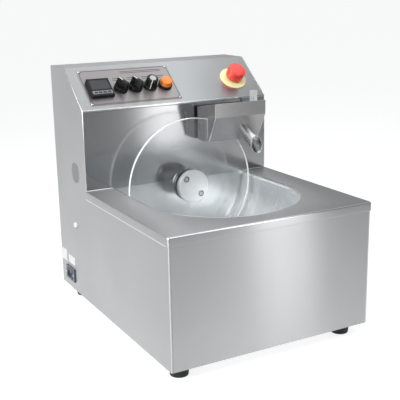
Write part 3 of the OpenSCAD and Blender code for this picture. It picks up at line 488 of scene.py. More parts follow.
def box_outline(width, length, radius=0.0, x=0.0, y=0.0):
    """A rectangle round (x, y) with round corners."""
    corners = [(x - width / 2, y - length / 2), (x + width / 2, y - length / 2),
               (x + width / 2, y + length / 2), (x - width / 2, y + length / 2)]
    return rounded(corners, radius, 5, closed=True)


def plug(radius, low, high, place, sides):
    """A plain round plug, to cut holes with."""
    return turned([(0, low), (radius, low), (radius, high), (0, high)], place, sides)


def joined(*shapes):
    """Several shapes as one."""
    whole = bmesh.new()
    for shape in shapes:
        mesh = mesh_of(shape, "part")
        whole.from_mesh(mesh)
        bpy.data.meshes.remove(mesh)
    return whole


def merged_copy(node):
    """A CAD node's solid with its loose triangles joined up into flat faces."""
    shape = bmesh.new()
    shape.from_mesh(frame["nodes"][node].data)
    bmesh.ops.remove_doubles(shape, verts=shape.verts, dist=WELD)
    bmesh.ops.dissolve_limit(shape, angle_limit=radians(FLAT), verts=shape.verts, edges=shape.edges)
    return shape


def mesh_of(shape, name):
    """A shape as a mesh; a mesh stays as it is."""
    if isinstance(shape, bpy.types.Mesh):
        return shape
    mesh = bpy.data.meshes.new(name)
    shape.to_mesh(mesh)
    shape.free()
    if "custom_normal" in mesh.attributes:
        mesh.attributes.remove(mesh.attributes["custom_normal"])
    return mesh


def lay_brush_lines(mesh):
    """Flat brush coordinates whose lines run level on every face, and left to right on a level face."""
    if BRUSH in mesh.uv_layers:
        return
    layer = mesh.uv_layers.new(name=BRUSH)
    for face in mesh.polygons:
        level = Z_AXIS.cross(face.normal)
        along = level.normalized() if level.length > TILT else X_AXIS
        across = face.normal.cross(along).normalized()
        for loop in face.loop_indices:
            point = mesh.vertices[mesh.loops[loop].vertex_index].co
            layer.data[loop].uv = (point.dot(across), point.dot(along))


def add_piece(name, shape, body, slot, finish=None, stands_for=(), smooth=SMOOTH):
    """Finishes a shape as a piece that rides on a body."""
    mesh = mesh_of(shape, name)
    mesh.name = name
    mesh.materials.clear()
    mesh.materials.append(finishes[finish or slot])
    lay_brush_lines(mesh)
    mesh.shade_smooth()
    mesh.set_sharp_from_angle(angle=radians(smooth))
    piece = put_in_scene(name, mesh)
    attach(piece, body)
    if stands_for:
        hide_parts(*stands_for)
    return piece


def add_fixed(name, shape, slot, finish=None, stands_for=(), smooth=SMOOTH):
    """A piece that stays with the cabinet."""
    return add_piece(name, shape, "cabinet", slot, finish, stands_for, smooth)


def add_copy(name, node, body, slot, finish=None, smooth=SMOOTH):
    """A CAD node's own solid as a piece."""
    return add_piece(name, merged_copy(node), body, slot, finish, [node], smooth)


def soften(piece, width, segments=2, angle=SHARP, painted_highlight=False):
    """Rounds a piece's sharp edges, and if asked gives the rounds a lighter steel as a painted highlight."""
    bevel = piece.modifiers.new("edges", "BEVEL")
    bevel.width = width
    bevel.segments = segments
    bevel.limit_method = "ANGLE"
    bevel.angle_limit = radians(angle)
    bevel.use_clamp_overlap = False
    bevel.harden_normals = True
    if painted_highlight:
        piece.data.materials.append(finishes["painted_highlight_steel"])
        bevel.material = 1
    return piece


def within(point, low, high):
    return all(low[i] < point[i] < high[i] for i in range(3))


def soften_long(piece, width, shortest, plain=None):
    """Rounds only a sheet's long edges, so that its holes and a plain region stay crisp, and gives the rounds a
    lighter steel as a painted highlight.
    """
    shape = bmesh.new()
    shape.from_mesh(piece.data)
    weights = piece.data.attributes.new("bevel_weight_edge", "FLOAT", "EDGE")
    for k, edge in enumerate(shape.edges):
        sharp = edge.is_manifold and edge.calc_face_angle() > radians(SHARP)
        crisp = plain and all(within(vertex.co, *plain) for vertex in edge.verts)
        weights.data[k].value = 1.0 if sharp and not crisp and edge.calc_length() > shortest else 0.0
    shape.free()
    soften(piece, width, 3, painted_highlight=True).modifiers["edges"].limit_method = "WEIGHT"


def refinish(piece, finish, chosen):
    """Gives the chosen faces of a piece another finish."""
    piece.data.materials.append(finishes[finish])
    for face in piece.data.polygons:
        if chosen(face):
            face.material_index = len(piece.data.materials) - 1
    return piece


def paint_bend_highlights(piece, low, high):
    """Paints a highlight on the front-facing and side-facing bends of a sheet, between two tilts of their faces,
    by giving them a lighter steel.
    """
    return refinish(piece, "painted_highlight_steel", lambda face: low < face.normal.z < high and face.normal.y < TILT)


def scratch_object(shape, name):
    return put_in_scene(name, mesh_of(shape, name))


def evaluated_mesh(made):
    """The mesh that an object's modifiers give, with the object cleared away."""
    bpy.context.view_layer.update()
    seen = made.evaluated_get(bpy.context.evaluated_depsgraph_get())
    mesh = bpy.data.meshes.new_from_object(seen)
    made.modifiers.clear()
    bpy.data.objects.remove(made)
    return mesh


def drilled(shape, cutters):
    """A solid with the cutters' solids taken out of it."""
    solid, tool = scratch_object(shape, "solid"), scratch_object(cutters, "tool")
    had_lines = BRUSH in solid.data.uv_layers
    holes = solid.modifiers.new("holes", "BOOLEAN")
    holes.operation = "DIFFERENCE"
    holes.solver = "EXACT"
    holes.object = tool
    mesh = evaluated_mesh(solid)
    bpy.data.objects.remove(tool)
    if BRUSH in mesh.uv_layers and not had_lines:
        mesh.uv_layers.remove(mesh.uv_layers[BRUSH])
    return mesh


# Node trees for what repeats

def new_tree(name, **inputs):
    tree = bpy.data.node_groups.new(name, "GeometryNodeTree")
    tree.is_modifier = True
    tree.interface.new_socket("Geometry", in_out="INPUT", socket_type="NodeSocketGeometry")
    for label, kind in inputs.items():
        tree.interface.new_socket(label, in_out="INPUT", socket_type="NodeSocket" + kind)
    tree.interface.new_socket("Geometry", in_out="OUTPUT", socket_type="NodeSocketGeometry")
    return tree, add_node(tree, "NodeGroupInput", {})


def end_tree(tree, points, given, turn):
    """Puts the fitting on every point, makes the copies real and gives them their finish."""
    fitting = add_node(tree, "GeometryNodeObjectInfo", {"Object": given["Fitting"]})["Geometry"]
    turning = add_node(tree, "FunctionNodeEulerToRotation", {0: turn})[0]
    copies = add_node(tree, "GeometryNodeInstanceOnPoints",
                      {"Points": points, "Instance": fitting, "Rotation": turning})["Instances"]
    real = add_node(tree, "GeometryNodeRealizeInstances", {0: copies})[0]
    coat = add_node(tree, "GeometryNodeSetMaterial", {"Geometry": real, "Material": given["Finish"]})[0]
    add_node(tree, "NodeGroupOutput", {0: coat})
    return tree


def place_tree():
    """A fitting on every point of the object that carries the tree."""
    tree, given = new_tree("fittings_at_places", Fitting="Object", Turn="Vector", Finish="Material")
    return end_tree(tree, given["Geometry"], given, given["Turn"])


def ring_tree():
    """A fitting repeated round a circle, turned to face outwards."""
    tree, given = new_tree("fittings_round_a_circle", Fitting="Object", Count="Int", Radius="Float",
                           Start="Float", Step="Float", Finish="Material")
    index = add_node(tree, "GeometryNodeInputIndex", {})[0]
    angle = calc(tree, "ADD", given["Start"], calc(tree, "MULTIPLY", index, given["Step"]))
    x, y = (calc(tree, "MULTIPLY", given["Radius"], calc(tree, way, angle)) for way in ("COSINE", "SINE"))
    points = add_node(tree, "GeometryNodePoints",
                      {"Count": given["Count"], "Position": combine(tree, x, y, 0.0)})[0]
    return end_tree(tree, points, given, combine(tree, 0.0, 0.0, angle))


TREES = {"places": place_tree(), "ring": ring_tree()}


def grown(tree_name, fitting, values, points=((0, 0, 0),)):
    """Runs a node tree on some points and gives back a plain mesh."""
    tree = TREES[tree_name]
    pattern = scratch_object(fitting, "fitting")
    carrier = bpy.data.meshes.new("points")
    carrier.from_pydata([tuple(point) for point in points], [], [])
    made = scratch_object(carrier, "carrier")
    grow = made.modifiers.new("grow", "NODES")
    grow.node_group = tree
    sockets = {item.name: item.identifier for item in tree.interface.items_tree if item.in_out == "INPUT"}
    for label, value in {"Fitting": pattern, **values}.items():
        grow[sockets[label]] = value
    mesh = evaluated_mesh(made)
    bpy.data.objects.remove(pattern)
    return mesh


def add_set(name, fitting, points, out, body, slot, finish=None, stands_for=()):
    """Copies of a fitting on some points as one piece, with the fitting's Z turned one way if asked."""
    turn = (0, 0, 0) if out is None else Vector(out).to_track_quat("Z", "Y").to_euler()[:]
    mesh = grown("places", fitting, {"Turn": turn, "Finish": finishes[finish or slot]}, points)
    return add_piece(name, mesh, body, slot, finish, stands_for)


# Cabinet sheets

BEND, RIM_EDGE, CORNER = mm(3, 1.2, 6)
EDGE_H, BEAD_R, BEAD_SHIFT = 1.5 * MM, 0.9 * MM, 0.6
SEAM, FASCIA_FOOT = mm(0.4, 3.6)
RIM_STEPS, STRAIGHT_STEPS, CORNER_STEPS, BOWL_STEPS = 96, 10, 6, 28
SLOPE_FOOT_Z = SLOPE.translation.z - (SLOPE.translation.y - COLUMN_Y) * SLOPE_TAN
SLOPE_TOP_Y = COLUMN_Y + (TOP_Z - SLOPE_FOOT_Z) / SLOPE_TAN
# The largest angle between two faces of a copied sheet that is shaded smooth, in degrees
SHEET_SMOOTH = 16


def lip_point(angle):
    """Where a ray from the tank's middle meets the lip, and the lip's outward direction there."""
    ray = Vector((cos(angle), sin(angle)))
    front = TANK_Y - LIP_Y
    side_reach = LIP_X / max(abs(ray.x), 1e-9)
    front_reach = front / max(-ray.y, 1e-9)
    point = ray * min(side_reach, front_reach)
    hand = copysign(1, ray.x)
    corner = Vector((hand * (LIP_X - CORNER), CORNER - front))
    if abs(point.x) > abs(corner.x) and point.y < corner.y:
        half = ray.dot(corner)
        point = ray * (half + sqrt(half * half - corner.length_squared + CORNER * CORNER))
        out = (point - corner).normalized()
    else:
        out = Vector((hand, 0)) if side_reach < front_reach else Vector((0, -1))
    return point + Vector((0, TANK_Y)), out


def straight_stations(hand, levels):
    out = Vector((hand, 0))
    return [(Vector((hand * TANK_R, y)), out, Vector((hand * LIP_X, y)), out) for y in levels]


def rim_stations():
    """Stations round the tank from its back left to its back right: rim, lip and outward directions."""
    levels = [COLUMN_Y + (TANK_Y - COLUMN_Y) * k / STRAIGHT_STEPS for k in range(STRAIGHT_STEPS)]
    stations = straight_stations(-1, levels)
    corner_angle = atan2(TANK_Y - LIP_Y, LIP_X)
    around = CORNER / hypot(LIP_X, TANK_Y - LIP_Y)
    angles = {pi + pi * k / RIM_STEPS for k in range(RIM_STEPS + 1)}
    for k in range(-CORNER_STEPS, CORNER_STEPS + 1):
        for angle in (pi + corner_angle, tau - corner_angle):
            angles.add(angle + around * 1.1 * k / CORNER_STEPS)
    for angle in sorted(angles):
        out = Vector((cos(angle), sin(angle)))
        stations.append((Vector((0, TANK_Y)) + out * TANK_R, out, *lip_point(angle)))
    return stations + straight_stations(1, reversed(levels))


STATIONS = rim_stations()


def arc(count, start=0.0, end=pi / 2):
    return [start + (end - start) * k / count for k in range(count + 1)]


def swept(sections):
    """A shape through a row of closed sections."""
    shape = bmesh.new()
    rings = [[shape.verts.new((point.x, point.y, z)) for point, z in section] for section in sections]
    for first, last in zip(rings, rings[1:]):
        for k in range(len(first)):
            shape.faces.new((first[k - 1], first[k], last[k], last[k - 1]))
    shape.faces.new(rings[0])
    shape.faces.new(list(reversed(rings[-1])))
    bmesh.ops.recalc_face_normals(shape, faces=shape.faces)
    return shape


def make_deck():
    """The deck and its turned-down lip as one bent sheet, its hemmed edge, and a bead round the tank; the bends,
    the side hems and the bead get a lighter steel as a painted highlight.
    """
    inner_bend, hem = BEND - SHEET, SHEET / 2
    under, edge_z = DECK_Z - SHEET, LIP_Z + EDGE_H
    sheet, edge, bead = [], [], []
    for rim, rim_out, lip, lip_out in STATIONS:
        inside = lip - lip_out * SHEET
        line = [(rim, under)]
        line += [(rim + rim_out * RIM_EDGE * (1 - cos(a)), DECK_Z - RIM_EDGE * (1 - sin(a)))
                 for a in arc(4)]
        line += [(lip - lip_out * BEND * (1 - sin(a)), DECK_Z - BEND * (1 - cos(a)))
                 for a in arc(6)]
        line += [(lip, edge_z), (inside, edge_z)]
        line += [(lip - lip_out * (SHEET + inner_bend * (1 - cos(a))),
                  under - inner_bend * (1 - sin(a))) for a in arc(4)]
        sheet.append(line)
        hemmed = [(lip - lip_out * hem * (1 - cos(a)), LIP_Z + hem * (1 - sin(a)))
                  for a in arc(8, 0, pi)]
        edge.append([(lip, edge_z), *hemmed, (inside, edge_z)])
        bead.append([(rim + rim_out * BEAD_R * (BEAD_SHIFT - cos(a)),
                      DECK_Z - BEAD_R * (BEAD_SHIFT - sin(a))) for a in arc(12, 0, tau)[:-1]])
    deck = add_fixed("deck_sheet", swept(sheet), "brushed_steel", stands_for=["deck_tray"])
    # The deck's front and side bends get lighter steel as a painted highlight
    paint_bend_highlights(deck, 0.2, 0.97)
    first = next(k for k, station in enumerate(STATIONS) if abs(station[3].x) < 1)
    last = len(STATIONS) - first
    # The hem's lower edge is lighter steel on the left and right as a painted highlight, and plain on the front
    for side, start, end, finish in (("left", 0, first, "painted_highlight_steel"),
                                     ("front", first - 1, last + 1, "brushed_steel"),
                                     ("right", last, len(STATIONS), "painted_highlight_steel")):
        add_fixed(f"deck_lip_edge_{side}", swept(edge[start:end]), "brushed_steel", finish)
    # The bead along the tank's rim is lighter steel as a painted highlight
    add_fixed("tank_rim_bead", swept(bead), "polished_steel", "painted_highlight_steel")


def make_tank():
    """The half-round bowl with its round nose; brush lines follow the rim."""
    shape = bmesh.new()
    layer = shape.loops.layers.uv.new(BRUSH)
    drop = TANK_R * pi / 2 / BOWL_STEPS
    lines, travel = [], 0.0
    for k, (rim, out, _, _) in enumerate(STATIONS):
        travel += (rim - STATIONS[k - 1][0]).length if k else 0.0
        points = [shape.verts.new((rim.x - out.x * TANK_R * (1 - cos(a)),
                                   rim.y - out.y * TANK_R * (1 - cos(a)), TANK_Z - TANK_R * sin(a)))
                  for a in arc(BOWL_STEPS)]
        lines.append((travel, points))
    for (near, first), (far, last) in zip(lines, lines[1:]):
        for k in range(BOWL_STEPS):
            face = shape.faces.new((first[k], last[k], last[k + 1], first[k + 1]))
            spots = ((k, near), (k, far), (k + 1, far), (k + 1, near))
            for loop, (row, along) in zip(face.loops, spots):
                loop[layer].uv = (along, row * drop)
    bmesh.ops.remove_doubles(shape, verts=shape.verts, dist=WELD)
    bmesh.ops.recalc_face_normals(shape, faces=shape.faces)
    middle = Vector((0, TANK_Y, TANK_Z))
    if sum((middle - face.calc_center_median()).dot(face.normal) for face in shape.faces) < 0:
        bmesh.ops.reverse_faces(shape, faces=shape.faces)
    bowl = add_fixed("tank_bowl_skin", shape, "polished_steel", stands_for=["tank_bowl"])
    wall = bowl.modifiers.new("wall", "SOLIDIFY")
    wall.thickness = TANK_WALL
    wall.offset = -1


def make_backsplash():
    """The upright sheet behind the wheel, and the tank's end wall below the deck."""
    hole_r, hole_reach, joint = mm(9, 10, 0.15)
    top, brim = SLOPE_FOOT_Z - FASCIA_FOOT - SEAM, TANK_Z - joint
    radius = TANK_R + TANK_WALL
    dip = asin((TANK_Z - LIP_Z) / radius)
    bowl = [(radius * cos(a), TANK_Z + radius * sin(a)) for a in arc(64, -dip, dip - pi)]
    upper = box_outline(2 * INNER_X, top - TANK_Z - joint, y=(top + TANK_Z + joint) / 2)
    lower = [(-INNER_X, brim), (INNER_X, brim), (INNER_X, LIP_Z), *bowl, (-INNER_X, LIP_Z)]
    for name, outline, finish, nodes in (("backsplash_sheet", upper, "backsplash_steel", ["backsplash"]),
                                         ("tank_end_wall", lower, "end_wall_steel", [])):
        hole = plug(hole_r, -hole_reach, hole_reach, facing_front(0, COLUMN_Y, AXLE.z), 48)
        sheet = drilled(prism(outline, facing_front(0, COLUMN_Y, 0), -SHEET, 0), hole)
        soften(add_fixed(name, sheet, "polished_steel", finish, nodes), 0.3 * MM)


def make_deck_seam():
    """The seams where the deck meets the backsplash on both sides of the tank, in a lighter steel as a painted
    highlight.
    """
    reach = 1.2 * MM
    hollow = [(0, 0), (reach, 0), (0.35 * reach, 0.35 * reach), (0, reach)]
    for side, start, end in (("left", -INNER_X, -TANK_R), ("right", TANK_R, INNER_X)):
        place = place_at(Vector((start, COLUMN_Y, DECK_Z)), -Y_AXIS, Z_AXIS, X_AXIS)
        shape = prism(hollow, place, 0, end - start)
        # Lighter steel on the seams as a painted highlight
        add_fixed(f"deck_seam_{side}", shape, "polished_steel", "painted_highlight_steel")


def make_fascia():
    """The sloping front and the column's top, as one sheet with round bends."""
    foot_z, flange_z = SLOPE_FOOT_Z - FASCIA_FOOT, TOP_Z - 15 * MM
    near, far, under = COLUMN_Y + SHEET, BACK_Y - SHEET, TOP_Z - SHEET
    offset = SHEET / SLOPE_UP.y - SHEET * SLOPE_TAN
    top_inset = SHEET * tan(atan(SLOPE_TAN) / 2)
    outer = rounded([(COLUMN_Y, foot_z), (COLUMN_Y, SLOPE_FOOT_Z), (SLOPE_TOP_Y, TOP_Z), (BACK_Y, TOP_Z),
                     (BACK_Y, flange_z)], BEND)
    inner = rounded([(near, foot_z), (near, SLOPE_FOOT_Z - offset), (SLOPE_TOP_Y + top_inset, under),
                     (far, under), (far, flange_z)], BEND - SHEET)
    section = outer + list(reversed(inner))
    mesh = drilled(prism(section, SIDEWAYS, -INNER_X, INNER_X), hole_cutters())
    sheet = add_fixed("fascia_sheet", mesh, "brushed_steel", stands_for=["control_fascia"], smooth=30)
    # The fascia's bends get lighter steel as a painted highlight
    soften(paint_bend_highlights(sheet, 0.05, SLOPE_OUT.z - 0.03), 0.25 * MM, angle=60)


# CAD node, name, slot, finish and edge radius in millimetres
EDGED_SHEETS = [
    ("base_plate", "base_sheet", "inner_steel", "brushed_steel", 0.3),
    ("back_cover", "back_cover_sheet", "inner_steel", "brushed_steel", 0.3),
    ("hanger_rail", "hanger_rail_bar", "inner_steel", "brushed_steel", 0.4),
    ("mains_inlet", "inlet_housing", "black_plastic", "inlet_plastic", 0.5),
]


def make_sheets():
    for node, name, slot, finish, edge in EDGED_SHEETS:
        soften(add_copy(name, node, "cabinet", slot, finish, SHEET_SMOOTH), edge * MM)
    add_copy("front_sheet", "front_panel", "cabinet", "brushed_steel")
    for side in ("left", "right"):
        panel = add_copy(f"{side}_side_sheet", f"{side}_side_panel", "cabinet", "brushed_steel",
                         smooth=SHEET_SMOOTH)
        # The side panels' long edges get lighter steel as a painted highlight
        soften_long(panel, 0.7 * MM, 30 * MM)


# Fittings on the cabinet

def socket_screw(radius, height, socket):
    """A cap-head screw's head standing on its seat, with a hexagon socket."""
    edge, deep = 0.25 * radius, 0.55 * height
    head = turned([(0, 0)] + rounded([(radius, 0), (radius, height), (0, height)], edge, 3), UPRIGHT, 32)
    hexagon = [(socket * cos(k * pi / 3), socket * sin(k * pi / 3)) for k in range(6)]
    return drilled(head, prism(hexagon, UPRIGHT, height - deep, height + deep))


def cross_screw(radius, height):
    """A pan-head screw's head standing on its seat, with a cross recess."""
    wall = 0.35
    dome = [(radius * cos(a), height * (wall + (1 - wall) * sin(a))) for a in arc(6)]
    head = turned([(0, 0), (radius, 0), (radius, wall * height), *dome[1:]], UPRIGHT, 32)
    slot_w, slot_l, deep = 0.24 * radius, 1.25 * radius, 0.55 * height
    for width, length in ((slot_w, slot_l), (slot_l, slot_w)):
        head = drilled(head, prism(box_outline(width, length), UPRIGHT, height - deep, 2 * height))
    return head


def make_feet():
    low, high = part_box("rubber_feet")
    top_r, floor_r, bore, pilot_r, seat, rim, edge = mm(20, 17, 6, 2.6, 8, 2, 1.5)
    height = high.z - low.z
    profile = [(bore, 0)]
    profile += rounded([(floor_r - rim, 0), (floor_r, 0), (top_r, height), (bore, height)], edge)
    profile += [(pilot_r, height), (pilot_r, height - seat), (bore, height - seat)]
    foot = turned(profile, UPRIGHT, 64, closed=True)
    x, y = high.x - top_r, high.y - top_r
    points = [(sx * x, sy * y, 0) for sx in (-1, 1) for sy in (-1, 1)]
    add_set("rubber_foot_set", foot, points, None, "cabinet", "foot_rubber", stands_for=["rubber_feet"])


def make_back_screws():
    low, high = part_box("back_cover_screws")
    head_r, head_h, rows = 4 * MM, 1.6 * MM, 4
    seat_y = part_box("back_cover")[1].y
    xs = (low.x + head_r, high.x - head_r)
    zs = [low.z + head_r + (high.z - low.z - 2 * head_r) * k / (rows - 1) for k in range(rows)]
    points = [(x, seat_y, z) for x in xs for z in zs]
    add_set("back_screw_heads", cross_screw(head_r, head_h), points, Y_AXIS, "cabinet", "screw_steel",
            stands_for=["back_cover_screws"])


LOUVRE_L, LOUVRE_X, LOUVRE_STEP = mm(70, 52.5, 13)
LOUVRE_ROWS = 8


def make_louvres():
    """Pressed hoods over the cooling slots of the back cover."""
    stand, rise, skin, bend = mm(1.6, 7, 0.8, 2)
    outer = [(0, 0), (stand, 0)] + rounded([(stand, 0), (stand * 0.8, 0.55 * rise), (0, rise)], bend)[1:]
    inner = [(0, rise - 2 * skin), (0.45 * stand, 0.5 * rise), (stand - skin, 0)]
    hood = prism(outer + inner, SIDEWAYS, -LOUVRE_L / 2, LOUVRE_L / 2)
    seat_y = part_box("back_cover")[1].y
    points = [(side * LOUVRE_X, seat_y, DECK_Z + k * LOUVRE_STEP)
              for side in (-1, 1) for k in range(LOUVRE_ROWS)]
    add_set("back_louvre_hoods", hood, points, None, "cabinet", "inner_steel", "brushed_steel")


# Middle and size along Y and Z of the blank label fields on the left side, in millimetres
LABELS = [((252.5, 94), (31, 26)), ((207, 93), (38, 18))]


def middle_yz(node):
    low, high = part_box(node)
    return (low.y + high.y) / 2, (low.z + high.z) / 2


def make_side_fittings():
    """The white plug, the blank label fields and the inlet's two screws on the left side."""
    low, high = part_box("side_plug")
    radius, dome = (high.y - low.y) / 2, LEFT_X - low.x
    stem_r, stem_l, brim = mm(4, 8, 1.2)
    profile = [(0, -stem_l), (stem_r, -stem_l), (stem_r, 0), (radius, 0)]
    profile += [(radius * cos(a), brim + (dome - brim) * sin(a)) for a in arc(10)]
    cap = turned(profile, facing_left(*middle_yz("side_plug")), 48)
    add_fixed("side_plug_cap", cap, "food_plastic", stands_for=["side_plug"])
    film_r, film_t = mm(1.2, 0.15)
    for k, (middle, size) in enumerate(LABELS):
        film = prism(box_outline(*mm(*size), film_r), facing_left(*mm(*middle)), 0, film_t)
        add_fixed(f"blank_label_{k + 1}", film, "food_plastic", "label_film")
    flange, apart, head_r, head_h = mm(3, 20, 2.6, 1.2)
    y, z = middle_yz("mains_inlet")
    points = [(LEFT_X - flange, y + hand * apart, z) for hand in (-1, 1)]
    add_set("inlet_screw_heads", cross_screw(head_r, head_h), points, -X_AXIS, "cabinet", "screw_steel")


# Wheel

RIM_DEPTH, RIM_WIDTH, RIM_GAP, AXLE_BORE = mm(0.8, 5.5, 0.05, 8.05)


def along_axle(y):
    """A placing on the wheel's axle that looks out to the front."""
    return facing_front(AXLE.x, y, AXLE.z)


def round_size(node):
    """The placing at the back of a round piece on the axle, its radius and its length."""
    low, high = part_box(node)
    return along_axle(high.y), (high.x - low.x) / 2, high.y - low.y


def make_wheel():
    """The clear disc and its sawn edge."""
    place, radius, thick = round_size("wheel_disc")
    plate_r, step = radius - RIM_DEPTH, thick - RIM_WIDTH
    profile = [(AXLE_BORE, 0), (radius, 0), (radius, step - RIM_GAP), (plate_r, step - RIM_GAP),
               (plate_r, thick), (AXLE_BORE, thick)]
    disc = turned(profile, place, 256, closed=True)
    add_piece("wheel_plate", disc, "wheel", "clear_acrylic", stands_for=["wheel_disc"])
    inner = plate_r + RIM_GAP
    sawn = rounded([(inner, step), (radius, step), (radius, thick), (inner, thick)], [0, 0, 0.5 * MM, 0], 3)
    edge = turned(sawn, place, 256, closed=True)
    add_piece("wheel_sawn_edge", edge, "wheel", "clear_acrylic", "sawn_acrylic")


def make_hub_cap():
    """The front cap with its lathe centre, and two screws in pockets, upper left and lower right."""
    place, radius, thick = round_size("hub_cap")
    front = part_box("hub_cap")[0].y
    skin, centre_r, centre_h, brim = mm(3, 1.6, 2, 2.4)
    profile = [(AXLE_BORE, 0)]
    profile += rounded([(radius - MM, 0), (radius, 0), (radius, thick), (radius - brim, thick)],
                       [0, 0.3 * MM, 1.6 * MM, 0])
    profile += [(centre_r, thick), (0, thick - centre_h), (0, thick - skin), (AXLE_BORE, thick - skin)]
    head_r, head_h, sunk, pocket_r, socket, reach = mm(5, 3, 0.2, 6.3, 2.89, 24)
    places = [(reach * cos(a), reach * sin(a)) for a in (radians(135), radians(-45))]
    pockets = [plug(pocket_r, -head_h, head_h, along_axle(front) @ Matrix.Translation((x, z, 0)), 40)
               for x, z in places]
    cap = drilled(turned(profile, place, 128, closed=True), joined(*pockets))
    disc = add_piece("hub_cap_disc", cap, "wheel", "hub_metal", stands_for=["hub_cap"])

    def in_pocket(face):
        spot = face.center - AXLE
        near = min((Vector((spot.x, spot.z)) - Vector(pocket)).length for pocket in places)
        return near < 1.02 * pocket_r and face.center.y > front + sunk

    # The pocket walls are painted near black as painted shade round the screw heads
    refinish(disc, "painted_pocket_shade", in_pocket)
    points = [(x, front + head_h, AXLE.z + z) for x, z in places]
    add_set("hub_screw_heads", socket_screw(head_r, head_h - sunk, socket), points, -Y_AXIS, "wheel",
            "screw_steel", "hub_screw_metal", ["hub_screws"])


def make_hub_back():
    """The flange behind the wheel and the seal round its shaft."""
    place, radius, length = round_size("hub_flange")
    plate_t, boss_r = mm(8, 16)
    step = length - plate_t
    profile = rounded([(AXLE_BORE, 0), (boss_r, 0), (boss_r, step), (radius, step), (radius, length),
                       (AXLE_BORE, length)], [0, *mm(1, 1.5, 1.2, 0.3), 0], 4)
    flange = turned(profile, place, 128, closed=True)
    add_piece("hub_flange_disc", flange, "wheel", "hub_metal", "flange_metal", ["hub_flange"])
    place, radius, thick = round_size("shaft_seal")
    profile = rounded([(AXLE_BORE, 0), (radius, 0), (radius, thick), (AXLE_BORE, thick)], [0, 0, 1.5 * MM, 0])
    seal = turned(profile, place, 96, closed=True)
    add_fixed("shaft_seal_ring", seal, "food_plastic", stands_for=["shaft_seal"])


# Scraper

SPOUT_LEAN, SPOUT_CUT = radians(28.53), radians(43)


def make_scraper():
    """The folded box, its outside a darker brushed steel and its inside faces a much lighter copy as painted
    light, and its two blades.
    """
    box = add_copy("scraper_sheet", "scraper_box", "scraper", "brushed_steel", "box_steel", SHEET_SMOOTH)
    disc_low, disc_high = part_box("wheel_disc")
    slack = Vector((0, 4, 8)) * MM
    slit = (disc_low - slack, disc_high + slack)
    # The box's long edges get lighter steel as a painted highlight
    soften_long(box, 0.5 * MM, 3 * MM, slit)
    low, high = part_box("scraper_box")
    middle = (low + high) / 2

    def is_inside(face):
        return (middle - face.center).dot(face.normal) > 0 and not within(face.center, *slit)

    # The inside faces get a far lighter copy of the box steel as painted light
    refinish(box, "painted_light_box_face", is_inside)
    blades = add_copy("scraper_blade_pair", "scraper_blades", "scraper", "food_plastic", "blade_plastic")
    soften(blades, 0.4 * MM)


def make_spout():
    """The pouring tube, cut across so that its lower lip reaches farther."""
    low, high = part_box("pour_spout")
    wall, spare = mm(1.5, 2)
    outer = (high.x - low.x) / 2
    ahead, down = cos(SPOUT_LEAN), sin(SPOUT_LEAN)
    out = Vector((0, -ahead, -down))
    root = Vector(((low.x + high.x) / 2, high.y - outer * down, high.z - outer * ahead))
    reach = (root.z - outer * ahead - low.z) / down
    place = place_at(root, X_AXIS, out.cross(X_AXIS), out)
    bore, length = outer - wall, reach + spare
    tube = turned([(bore, 0), (outer, 0), (outer, length), (bore, length)], place, 96, closed=True)
    mouth = place @ Matrix.Translation((0, 0, reach - outer * tan(SPOUT_CUT)))
    mouth = mouth @ Matrix.Rotation(-SPOUT_CUT, 4, "X")
    waste = prism(box_outline(4 * outer, 8 * outer), mouth, 0, 4 * outer)
    spout = add_piece("spout_tube", drilled(tube, waste), "scraper", "polished_steel", "tube_steel",
                      ["pour_spout"])
    soften(spout, 0.35 * MM)


# Controls

# Sizes that panel controls share: bezel, barrel and the hole for it
BEZEL_R, BARREL_R, PANEL_HOLE = mm(15, 10.9, 11)
PLATE_SCREW_R, PLATE_SCREW_H, PLATE_LINE_H, WINDOW_UP = mm(3, 1.4, 0.04, 6)
window_low, window_high = span("controller_window", SLOPE)
CONTROLLER = on_slope(SLOPE @ Vector(((window_low.x + window_high.x) / 2,
                                      (window_low.y + window_high.y) / 2 - WINDOW_UP, 0)))
PLATE = slope_place_of("control_plate")
plate_low, plate_high = span("control_plate", PLATE)
PLATE_T = plate_high.z
PLATE_W, PLATE_L = plate_high.x - plate_low.x, plate_high.y - plate_low.y
# The angles at which the pointers of the switches and of the speed knob stand
POINTER, SPEED_POINTER = radians(127), radians(242)


def plate_screw_places():
    low, high = span("plate_screws", SLOPE)
    return [on_slope(SLOPE @ Vector((x, y, 0))) for x in (low.x + PLATE_SCREW_R, high.x - PLATE_SCREW_R)
            for y in (low.y + PLATE_SCREW_R, high.y - PLATE_SCREW_R)]


def hole_cutters():
    """Solids for the openings that the controls pass through."""
    depth, pot_hole, screw_hole, opening = mm(8, 4.6, 1.6, 44.2)
    rounds = [(joint_place(name), PANEL_HOLE)
              for name in ("heat_switch_turn", "wheel_switch_turn", "stop_twist")]
    rounds += [(slope_place_of("lamp_body"), PANEL_HOLE), (joint_place("speed_turn"), pot_hole)]
    rounds += [(place, screw_hole) for place in plate_screw_places()]
    shapes = [plug(radius, -depth, depth, place, 40) for place, radius in rounds]
    return joined(*shapes, prism(box_outline(opening, opening), CONTROLLER, -depth, depth))


def plate_line(first, last, width):
    """A thin filled line on the plate from one point to another."""
    first, last = Vector(first), Vector(last)
    way = (last - first).normalized()
    side = Vector((-way.y, way.x)) * width / 2
    outline = [first - side, last - side, last + side, first + side]
    return prism(outline, PLATE, PLATE_T, PLATE_T + PLATE_LINE_H)


